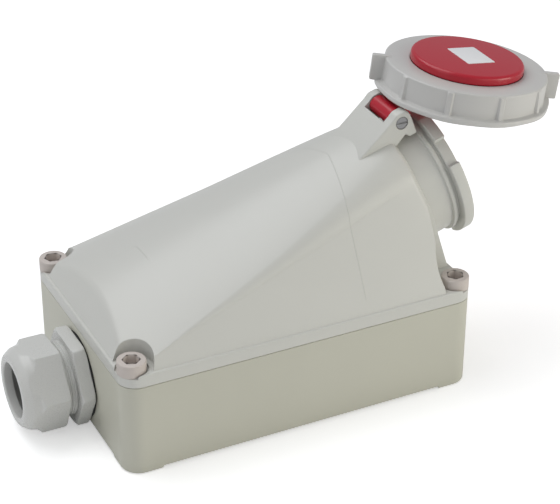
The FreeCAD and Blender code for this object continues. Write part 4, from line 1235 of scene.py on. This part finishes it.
@dataclass(kw_only=True)
class Casing(BoxSizes):
    """Bottom shell with corner feet, softened edges and wall holes."""

    foot: float = 24.0
    foot_height: float = 1.5
    gap: float = 0.18
    hole_x: float = 95.0
    hole_y: float = 50.0
    hole: float = 3.2
    boss: float = 8.0
    boss_height: float = 20.0

    def _levels(self, flat: np.ndarray) -> np.ndarray:
        """Height of the underside: nought on the corner feet, foot_height elsewhere.

        Args:
            flat: Array (n, 2) of places on it.

        Returns:
            A height for each place.
        """
        inside_x = np.abs(flat[:, 0]) > self.half_length - self.foot
        inside_y = np.abs(flat[:, 1]) > self.half_width - self.foot
        return np.where(inside_x & inside_y, 0.0, self.foot_height)

    def _shell(self) -> Draft:
        """The outer wall and underside.

        Rows follow the rounded rectangle; the wall's lower edge and the underside take
        their height from the feet.

        Returns:
            The closed shell.
        """
        outline = self.outline(1.0)
        feet = self._levels(inset(outline, 1.2))
        under = [(11.9, 0.0), (4.0, 0.0), (1.2, 0.0), (0.35, 0.35), (0.0, 1.2)]
        rows = [raised(inset(outline, distance), feet + rise) for distance, rise in under]
        top = self.seam - self.gap
        wall = [(0.0, 6.0), (0.0, top - 0.42), (0.12, top - 0.12), (0.4, top), (6.0, top)]
        rows += [raised(inset(outline, distance), level) for distance, level in wall]
        draft = Draft()
        draft.grid(np.stack(rows), wrap_v=True)
        plate = rows[0].copy()
        plate[:, 2] = self.foot_height
        draft.grid(np.stack([plate, rows[0]]), wrap_v=True)
        draft.cap(plate[::-1])
        draft.cap(rows[-1])
        return draft

    def build(self) -> None:
        """Make the shell with its wall holes, and let it stand for the CAD node."""
        piece = self._shell().build("casing_shell", CASING, Body.BOX)
        holes = [(a * self.hole_x, b * self.hole_y) for a, b in SIGNS]
        carve(piece, [column(place, self.hole, -5.0, 40.0) for place in holes])
        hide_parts("base_casing")
        inner, outer, height = self.hole, self.boss, self.boss_height
        corners = np.array([[inner, height], [inner, 0.0], [outer, 0.0], [outer, height]])
        for number, place in enumerate(holes):
            boss = Draft()
            boss.turned(fillet_path(corners, 0.4, 4), tilted(np.array([*place, 0.0]), 0.0), 48)
            ring = boss.build(f"wall_boss_{number}", CASING, Body.BOX)


# --- screws -------------------------------------------------------------------------------


@dataclass(kw_only=True)
class CoverScrews(BoxSizes):
    """Plastic screws with a hexagon socket in each head."""

    radius: float = 9.35
    height: float = 8.6
    across: float = 9.4
    depth: float = 5.5

    def _head(self, axes: Axes, first: float) -> Draft:
        """One head: outside and rim turned, then walls that follow the hexagon.

        Args:
            axes: Frame at the head's foot.
            first: Angle of the hexagon in radians.

        Returns:
            The head.
        """
        top, floor = self.height, self.height - self.depth
        corners = np.array([[self.radius, 0.0], [self.radius, top], [5.0, top]])
        outer = fillet_path(corners, [0, 1.0, 0], 7, False)[:-1]
        angle = np.radians(np.arange(0, 360, 2.0))[:, None]
        hexagon = hexagon_radius(angle, self.across, first)
        radius = [np.zeros_like(angle)] + [np.full_like(angle, r) for r in outer[:, 0]]
        radius += [hexagon + 0.5, hexagon + 0.12, hexagon, hexagon, hexagon * 0.2, 0 * hexagon]
        height = [0.0, *outer[:, 1], top, top - 0.12, top - 0.5, floor, floor - 0.3, floor - 0.4]
        points = polar(np.concatenate(radius, axis=1), angle, np.array(height))
        draft = Draft()
        draft.grid(axes.place(points), wrap_u=True)
        return draft

    def build(self) -> None:
        """Make the four heads, each turned to its own angle."""
        for number, place in enumerate(self.screw_places()):
            axes = tilted(np.array([*place, self.seat_level]), 0.0)
            head = self._head(axes, math.radians(8.0 + 13.0 * number))
            piece = head.build(f"cover_screw_{number}", SCREW, Body.BOX, 40.0)
            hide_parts("cover_screws")


# --- lid ----------------------------------------------------------------------------------


@dataclass
class Lid:
    """Red disc on the lid's boss, and the blank plate on it."""

    axes: Axes
    radius: float = 38.2
    height: float = 6.0
    label_length: float = 27.5
    label_width: float = 21.0
    label_x: float = 2.3

    def _disc(self) -> Draft:
        """The disc: flat top with a broad soft rim.

        Returns:
            The turned disc.
        """
        foot, shoulder = 0.05, self.height - 0.1
        corners = np.array([
            [0.0, foot], [self.radius, foot], [self.radius, shoulder], [0.0, self.height],
        ])
        draft = Draft()
        draft.turned(fillet_path(corners, [0, 0.5, 2.4, 0], 10, False), self.axes, 180, False)
        return draft

    def _label(self) -> Draft:
        """A thin blank plate with round corners."""
        half = [self.label_width / 2, self.label_length / 2]
        sharp = np.array([[1, 1], [-1, 1], [-1, -1], [1, -1]]) * half
        outline = fillet_path(sharp + [self.label_x, 0.0], 0.9, 6)
        draft = Draft()
        draft.slab(outline, self.height - 0.15, self.height + 0.2, 0.05, self.axes)
        return draft

    def build(self) -> None:
        """Make the disc and the plate, and let them stand for their CAD nodes."""
        disc = self._disc().build("lid_cap", RED, Body.LID)
        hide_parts("lid_disc")
        label = self._label().build("lid_blank_plate", LABEL, Body.LID)
        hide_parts("rating_plate")


@dataclass
class BayonetRing:
    """Turning ring: web, panelled skirt, lower band, grips, two wing lugs and cams."""

    axes: Axes
    radius: float = 55.0
    bore: float = 51.0
    height: float = 20.8
    band: float = 59.4
    band_height: float = 4.4
    grips: int = 10
    first_grip: float = -24.0
    grip_half: float = 1.5
    grip_side: float = 0.9
    grip_rise: float = 1.9
    panel_sunk: float = 0.35
    wave: float = 0.7
    web_bore: float = 38.35
    web_back: float = -3.15
    lug_radius: float = 63.6
    cam: tuple[float, float] = (51.6, 47.4)
    cam_levels: tuple[float, float] = (-19.9, -16.5)
    cam_half: float = 9.0

    def _skirt(self) -> Draft:
        """The turned body, with panels sunk between the grips and a gently waved band.

        The wall's radius is panel + grip_rise * w(a), where w is 1 at a grip and falls
        smoothly to 0 beside it; the band's radius falls by up to wave between grips.

        Returns:
            The skirt.
        """
        top, low = -0.15, -self.height
        shelf = low + self.band_height
        corners = np.array([
            [self.web_bore, top], [self.radius, top], [self.radius + 0.3, shelf],
            [self.band, shelf - 0.6], [self.band, low], [self.bore, low],
            [self.bore, self.web_back], [self.web_bore, self.web_back],
        ])
        profile = fillet_path(corners, [0.2, 1.5, 1.0, 1.2, 1.4, 0.6, 1.0, 0.2], 8)
        angle = np.radians(np.arange(0, 360, 0.5))[:, None]
        step = TURN / self.grips
        local = np.mod(angle - math.radians(self.first_grip) + step / 2, step) - step / 2
        away = np.clip((np.abs(local) * self.radius - self.grip_half) / self.grip_side, 0, 1)
        ridge = 1 - away ** 2 * (3 - 2 * away)
        wave = 0.5 - 0.5 * np.cos(local * self.grips)
        radius, height = profile[:, 0][None], profile[:, 1][None]
        on_wall = (radius > 52.5) & (height > shelf - 0.2) & (height < top - 0.9)
        on_band = (radius > 56.5) & (height <= shelf - 0.2)
        rise = np.clip((top - height - 0.9) / 1.2, 0, 1)
        grown = radius + on_wall * rise * (ridge * self.grip_rise - self.panel_sunk)
        points = polar(grown - on_band * wave * self.wave, angle, height)
        draft = Draft()
        draft.grid(self.axes.place(points), wrap_u=True, wrap_v=True)
        return draft

    def _lug(self, angle: float) -> Draft:
        """One wing: an upright blade with a low ridge that runs onto the ring's top.

        Args:
            angle: Its place round the ring in degrees.

        Returns:
            The wing.
        """
        turn = math.radians(angle)
        out = self.axes.x * math.cos(turn) + self.axes.y * math.sin(turn)
        side = Axes(self.axes.origin, out, self.axes.z, np.cross(out, self.axes.z))
        outline = fillet_path(
            np.array([
                [45.5, -1.0], [54.0, 0.45], [self.lug_radius, 0.45],
                [self.lug_radius, -17.2], [57.0, -17.6], [53.0, -17.6],
            ]),
            [0.6, 3.0, 1.0, 0.8, 0.7, 0.6], 5,
        )
        draft = Draft()
        draft.slab(outline, -2.1, 2.1, 0.35, side)
        return draft

    def _cam(self, angle: float) -> Draft:
        """One cam inside the skirt: an arc-shaped block.

        Args:
            angle: Its middle in degrees.

        Returns:
            The cam.
        """
        sweep = np.radians(np.linspace(angle - self.cam_half, angle + self.cam_half, 13))
        circle = np.column_stack([np.cos(sweep), np.sin(sweep)])
        outer, inner = (radius * circle for radius in self.cam)
        low, high = self.cam_levels
        draft = Draft()
        draft.slab(np.concatenate([outer, inner[::-1]]), low, high, 0.4, self.axes)
        return draft

    def build(self) -> None:
        """Make the ring's pieces and let them stand for the CAD node."""
        pieces = [self._skirt().build("ring_skirt", RING, Body.RING, 38.0)]
        for number, angle in enumerate((self.first_grip, self.first_grip + 180)):
            pieces.append(self._lug(angle).build(f"ring_wing_{number}", RING, Body.RING))
        for number, angle in enumerate(CAM_ANGLES):
            pieces.append(self._cam(angle).build(f"ring_cam_{number}", RING, Body.RING))
        for piece in pieces:
            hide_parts("bayonet_ring")


# --- cable gland --------------------------------------------------------------------------


@dataclass
class Gland:
    """Cable gland: hexagon body, visible thread and dome nut; its clamping insert is the CAD node.
    """

    axes: Axes
    washer: float = 1.3
    body_across: float = 57.0
    body_length: float = 9.0
    neck: float = 23.0
    thread_root: float = 23.9
    thread_depth: float = 1.0
    pitch: float = 2.2
    nut_across: float = 54.0
    nut_start: float = 17.1
    nut_end: float = 46.3
    nut_turn: float = 5.0
    mouth: float = 18.4

    def _hexagon(
        self, across: float, turn: float, levels: np.ndarray, limits: np.ndarray, blend: float
    ) -> np.ndarray:
        """Side of a turned hexagon: the softened lesser of hexagon and turned limit.

        Args:
            across: Size across flats.
            turn: Angle of a flat in degrees.
            levels: Heights of the rows.
            limits: Turned radius at each height.
            blend: Softness of the change-over.

        Returns:
            Array (angles, rows, 3) in the gland's frame.
        """
        angle = np.radians(np.arange(0, 360, 1.0))[:, None]
        flats = hexagon_radius(angle, across, math.radians(turn))
        return polar(soft_min(flats, limits, blend), angle, levels)

    def _body(self) -> Draft:
        """Hexagon collar with chamfered rims, hollow for the neck.

        Returns:
            The collar.
        """
        start, end = self.washer, self.washer + self.body_length
        foot = [start, start, start + 0.4, start + 1.2]
        levels = np.array([*foot, end - 1.6, end - 0.7, end - 0.2, end, end])
        limits = np.array([20.0, 31.4, 32.2, 33.0, 33.0, 32.2, 31.2, 30.0, 20.0])
        rows = self._hexagon(self.body_across, 0.0, levels, limits, 0.5)
        draft = Draft()
        draft.grid(self.axes.place(rows), wrap_u=True, wrap_v=True)
        return draft

    def _neck(self) -> Draft:
        """Neck with its thread: root + depth * triangle(level / pitch - turn).

        Returns:
            The neck, from the collar into the nut.
        """
        angle = np.radians(np.arange(0, 360, 4.0))[:, None]
        start = self.washer + self.body_length
        levels = np.linspace(start - 1.0, self.nut_start + 3.0, 90)[None]
        phase = np.mod(levels / self.pitch - angle / TURN, 1.0)
        thread = np.clip(1.6 - 4.4 * np.abs(phase - 0.5), 0.0, 1.0)
        radius = self.thread_root + self.thread_depth * thread
        inner = np.full_like(angle, self.neck - 2.0)
        radius = np.concatenate([inner, radius, inner], axis=1)
        levels = np.pad(levels, ((0, 0), (1, 1)), mode="edge")
        draft = Draft()
        draft.grid(self.axes.place(polar(radius, angle, levels)), wrap_u=True, wrap_v=True)
        return draft

    def _nut(self) -> Draft:
        """Dome nut: hexagon at the foot, a turned dome above it and an open mouth.

        Returns:
            The nut.
        """
        start, end, steps = self.nut_start, self.nut_end, 8
        outside = [
            [25.6, start + 3.0], [25.6, start], [30.4, start], [31.6, start + 1.4],
            [31.6, start + 16.8], [28.4, start + 18.6], [27.2, end - 5.0], [23.6, end],
        ]
        inside = [[self.mouth, end], [self.mouth - 0.2, end - 6.0], [23.1, end - 11.0]]
        soft = [0, 0.4, 0.8, 1.0, 1.4, 3.0, 7.0, 3.2, 1.2, 0, 0]
        curve = fillet_path(np.array(outside + inside), soft, steps, False)
        angle = np.radians(np.arange(0, 360, 1.0))[:, None]
        flats = hexagon_radius(angle, self.nut_across, math.radians(self.nut_turn))
        is_side = np.arange(len(curve)) < steps * len(outside)
        radius = np.where(is_side, soft_min(flats, curve[:, 0], 0.35), curve[:, 0])
        points = polar(radius, angle, curve[:, 1])
        draft = Draft()
        draft.grid(self.axes.place(points), wrap_u=True, wrap_v=True)
        return draft

    def build(self) -> None:
        """Make the collar, neck and nut, and let them stand for their CAD nodes."""
        body = self._body().build("gland_collar", GLAND, Body.BOX)
        neck = self._neck().build("gland_thread", GLAND, Body.BOX, 60.0)
        nut = self._nut().build("gland_dome_nut", GLAND, Body.NUT, 40.0)
        for piece in (body, neck):
            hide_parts("gland_body")
        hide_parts("gland_nut")


# --- studio -------------------------------------------------------------------------------


@dataclass(frozen=True)
class SoftBox:
    """One lamp: its name, place and two sides in metres, power in watts and tint."""

    name: str
    place: tuple[float, float, float]
    size: tuple[float, float]
    power: float
    tint: tuple[float, float, float]


SOFT_BOXES = (
    SoftBox("overhead", (-0.3, 0.5, 1.3), (1.3, 1.1), 9.8, (0.98, 0.99, 1.0)),
    SoftBox("left", (-1.25, -0.25, 0.65), (0.8, 1.1), 1.6, (1.0, 1.0, 0.99)),
    SoftBox("front", (0.55, -1.35, 0.55), (1.1, 0.8), 2.6, (1.0, 0.97, 0.84)),
    SoftBox("right", (1.0, -0.75, 0.3), (0.6, 0.6), 4.2, (1.0, 0.965, 0.85)),
)


@dataclass
class Studio:
    """Camera, lamps, world and floor."""

    target: tuple[float, float, float] = (2.38, -35.95, 108.76)
    azimuth: float = -26.52
    elevation: float = 30.19
    roll: float = 0.31
    distance: float = 1174.0
    lens: float = 117.4
    lit_point: tuple[float, float, float] = (0.02, 0.0, 0.09)
    world_colour: tuple[float, float, float, float] = (0.93, 0.95, 1.0, 1.0)
    world_strength: float = 0.39
    floor_half: float = 6.0
    floor_drop: float = 0.0004
    floor_glow: float = 0.42

    def camera(self) -> None:
        """Place the camera."""
        a, e = math.radians(self.azimuth), math.radians(self.elevation)
        back = Vector((math.sin(a) * math.cos(e), -math.cos(a) * math.cos(e), math.sin(e)))
        data = bpy.data.cameras.new("camera")
        data.lens = self.lens
        data.sensor_width = 36.0
        data.sensor_fit = "HORIZONTAL"
        data.clip_start, data.clip_end = 0.05, 20.0
        eye = bpy.data.objects.new("camera", data)
        eye.location = (Vector(self.target) + back * self.distance) * MILLIMETRE
        aim = (-back).to_track_quat("-Z", "Y")
        roll = Euler((0, 0, math.radians(self.roll))).to_quaternion()
        eye.rotation_euler = (aim @ roll).to_euler()
        bpy.context.scene.collection.objects.link(eye)
        bpy.context.scene.camera = eye

    def lights(self) -> None:
        """Place the soft boxes, all aimed at one point."""
        for box in SOFT_BOXES:
            data = bpy.data.lights.new(box.name, "AREA")
            data.shape = "RECTANGLE"
            data.size, data.size_y = box.size
            data.energy = box.power
            data.color = box.tint
            lamp = bpy.data.objects.new(box.name, data)
            lamp.location = box.place
            aim = Vector(self.lit_point) - Vector(box.place)
            lamp.rotation_euler = aim.to_track_quat("-Z", "Y").to_euler()
            bpy.context.scene.collection.objects.link(lamp)

    def world(self) -> None:
        """Even pale surroundings, and plain white behind the object."""
        world = bpy.data.worlds.new("studio")
        world.use_nodes = True
        world.node_tree.nodes.clear()
        wires = Wiring(world.node_tree)
        path = wires.add("LightPath")
        seen = wires.math(
            "MAXIMUM", path.outputs["Is Camera Ray"], path.outputs["Is Transmission Ray"]
        )
        shine = wires.add("Background")
        shine.inputs["Color"].default_value = self.world_colour
        shine.inputs["Strength"].default_value = self.world_strength
        plain = wires.add("Background")
        plain.inputs["Color"].default_value = (1.0, 1.0, 1.0, 1.0)
        plain.inputs["Strength"].default_value = 1.0
        blend = wires.add("MixShader")
        output = wires.add("OutputWorld")
        wires.join(seen, blend.inputs[0])
        wires.join(shine.outputs[0], blend.inputs[1])
        wires.join(plain.outputs[0], blend.inputs[2])
        wires.join(blend.outputs[0], output.inputs[0])
        bpy.context.scene.world = world

    def floor(self) -> None:
        """A plain pale floor under the feet, which keeps a faint shadow."""
        half = self.floor_half
        data = bpy.data.meshes.new("floor")
        corners = [(-half, -half, 0.0), (half, -half, 0.0), (half, half, 0.0), (-half, half, 0.0)]
        data.from_pydata(corners, [], [(0, 1, 2, 3)])
        floor = bpy.data.objects.new("floor", data)
        floor.location.z = -self.floor_drop
        made = bpy.data.materials.new("floor_paper")
        made.use_nodes = True
        made.node_tree.nodes.clear()
        wires = Wiring(made.node_tree)
        output = wires.add("OutputMaterial")
        paper = wires.add("BsdfPrincipled")
        paper.inputs["Base Color"].default_value = (0.93, 0.93, 0.93, 1.0)
        paper.inputs["Roughness"].default_value = 0.9
        paper.inputs["Specular IOR Level"].default_value = 0.1
        glow = wires.add("Emission")
        glow.inputs["Color"].default_value = (1.0, 1.0, 1.0, 1.0)
        path = wires.add("LightPath")
        shown = wires.math("MULTIPLY", path.outputs["Is Camera Ray"], self.floor_glow)
        wires.join(shown, glow.inputs["Strength"])
        both = wires.add("AddShader")
        wires.join(paper.outputs[0], both.inputs[0])
        wires.join(glow.outputs[0], both.inputs[1])
        wires.join(both.outputs[0], output.inputs[0])
        data.materials.append(made)
        bpy.context.scene.collection.objects.link(floor)

    def build(self) -> None:
        """Set up the whole studio."""
        self.camera()
        self.lights()
        self.world()
        self.floor()
        bpy.context.scene.view_settings.view_transform = "Standard"


# --- carried-over nodes -------------------------------------------------------------------

NODE_FINISHES = {
    "casing_gasket": RUBBER, "screw_inserts": BRASS, "contact_carrier": CARRIER,
    "contact_earth": BRASS, "contact_neutral": BRASS, "contact_line_1": BRASS,
    "contact_line_2": BRASS, "contact_line_3": BRASS, "contact_pilot": BRASS,
    "terminal_screws": STEEL, "carrier_screws": STEEL, "shroud_seal": RUBBER,
    "hinge_pin": STEEL, "pin_clip": STEEL, "lid_plate": RED, "lid_seal": RUBBER,
    "gland_washer": RUBBER, "gland_claw": MOUTH, "gland_seal": RUBBER,
}
SPARE_FINISHES = {
    "base_casing": CASING, "upper_housing": COVER, "cover_screws": SCREW, "lid_disc": RED,
    "rating_plate": LABEL, "bayonet_ring": RING, "gland_body": GLAND, "gland_nut": GLAND,
}


def dress(nodes: dict[str, bpy.types.Object]) -> None:
    """Give every carried-over node its finish.

    Args:
        nodes: The CAD nodes by name.
    """
    for name, finish in {**NODE_FINISHES, **SPARE_FINISHES}.items():
        slots = nodes[name].data.materials
        slots.clear()
        slots.append(finish.material())
        LOG.info("%s: %s", name, finish.name)


def joint_named(frame: dict[str, Any], name: str) -> dict[str, Any]:
    """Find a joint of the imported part.

    Args:
        frame: What the frame holds.
        name: The joint's name.

    Returns:
        The joint's entry.
    """
    return next(joint for joint in frame["joints"] if joint["name"] == name)


def main() -> None:
    """Load the frame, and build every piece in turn."""
    logging.basicConfig(level=logging.INFO, format="%(name)s %(message)s")
    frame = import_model()

    Studio().build()
    socket = tilted(np.array([137.5, 0.0, 126.5]), 72.0)
    hinge = np.array(joint_named(frame, "lid_hinge")["pos_m"]) / MILLIMETRE
    turning = joint_named(frame, "ring_turn")
    lean = math.degrees(math.atan2(turning["axis"][0], turning["axis"][2]))
    lid = tilted(np.array(turning["pos_m"]) / MILLIMETRE, lean)
    out = np.array([-1.0, 0.0, 0.0])
    up = np.array([0.0, 0.0, 1.0])
    gland = Axes(np.array([-125.0, 0.0, 31.0]), up, np.cross(out, up), out)

    dress(frame["nodes"])
    Casing().build()
    Housing(socket=socket, hinge=hinge).build()
    CoverScrews().build()
    Lid(lid).build()
    BayonetRing(lid).build()
    Gland(gland).build()


if __name__ == "__main__":
    main()
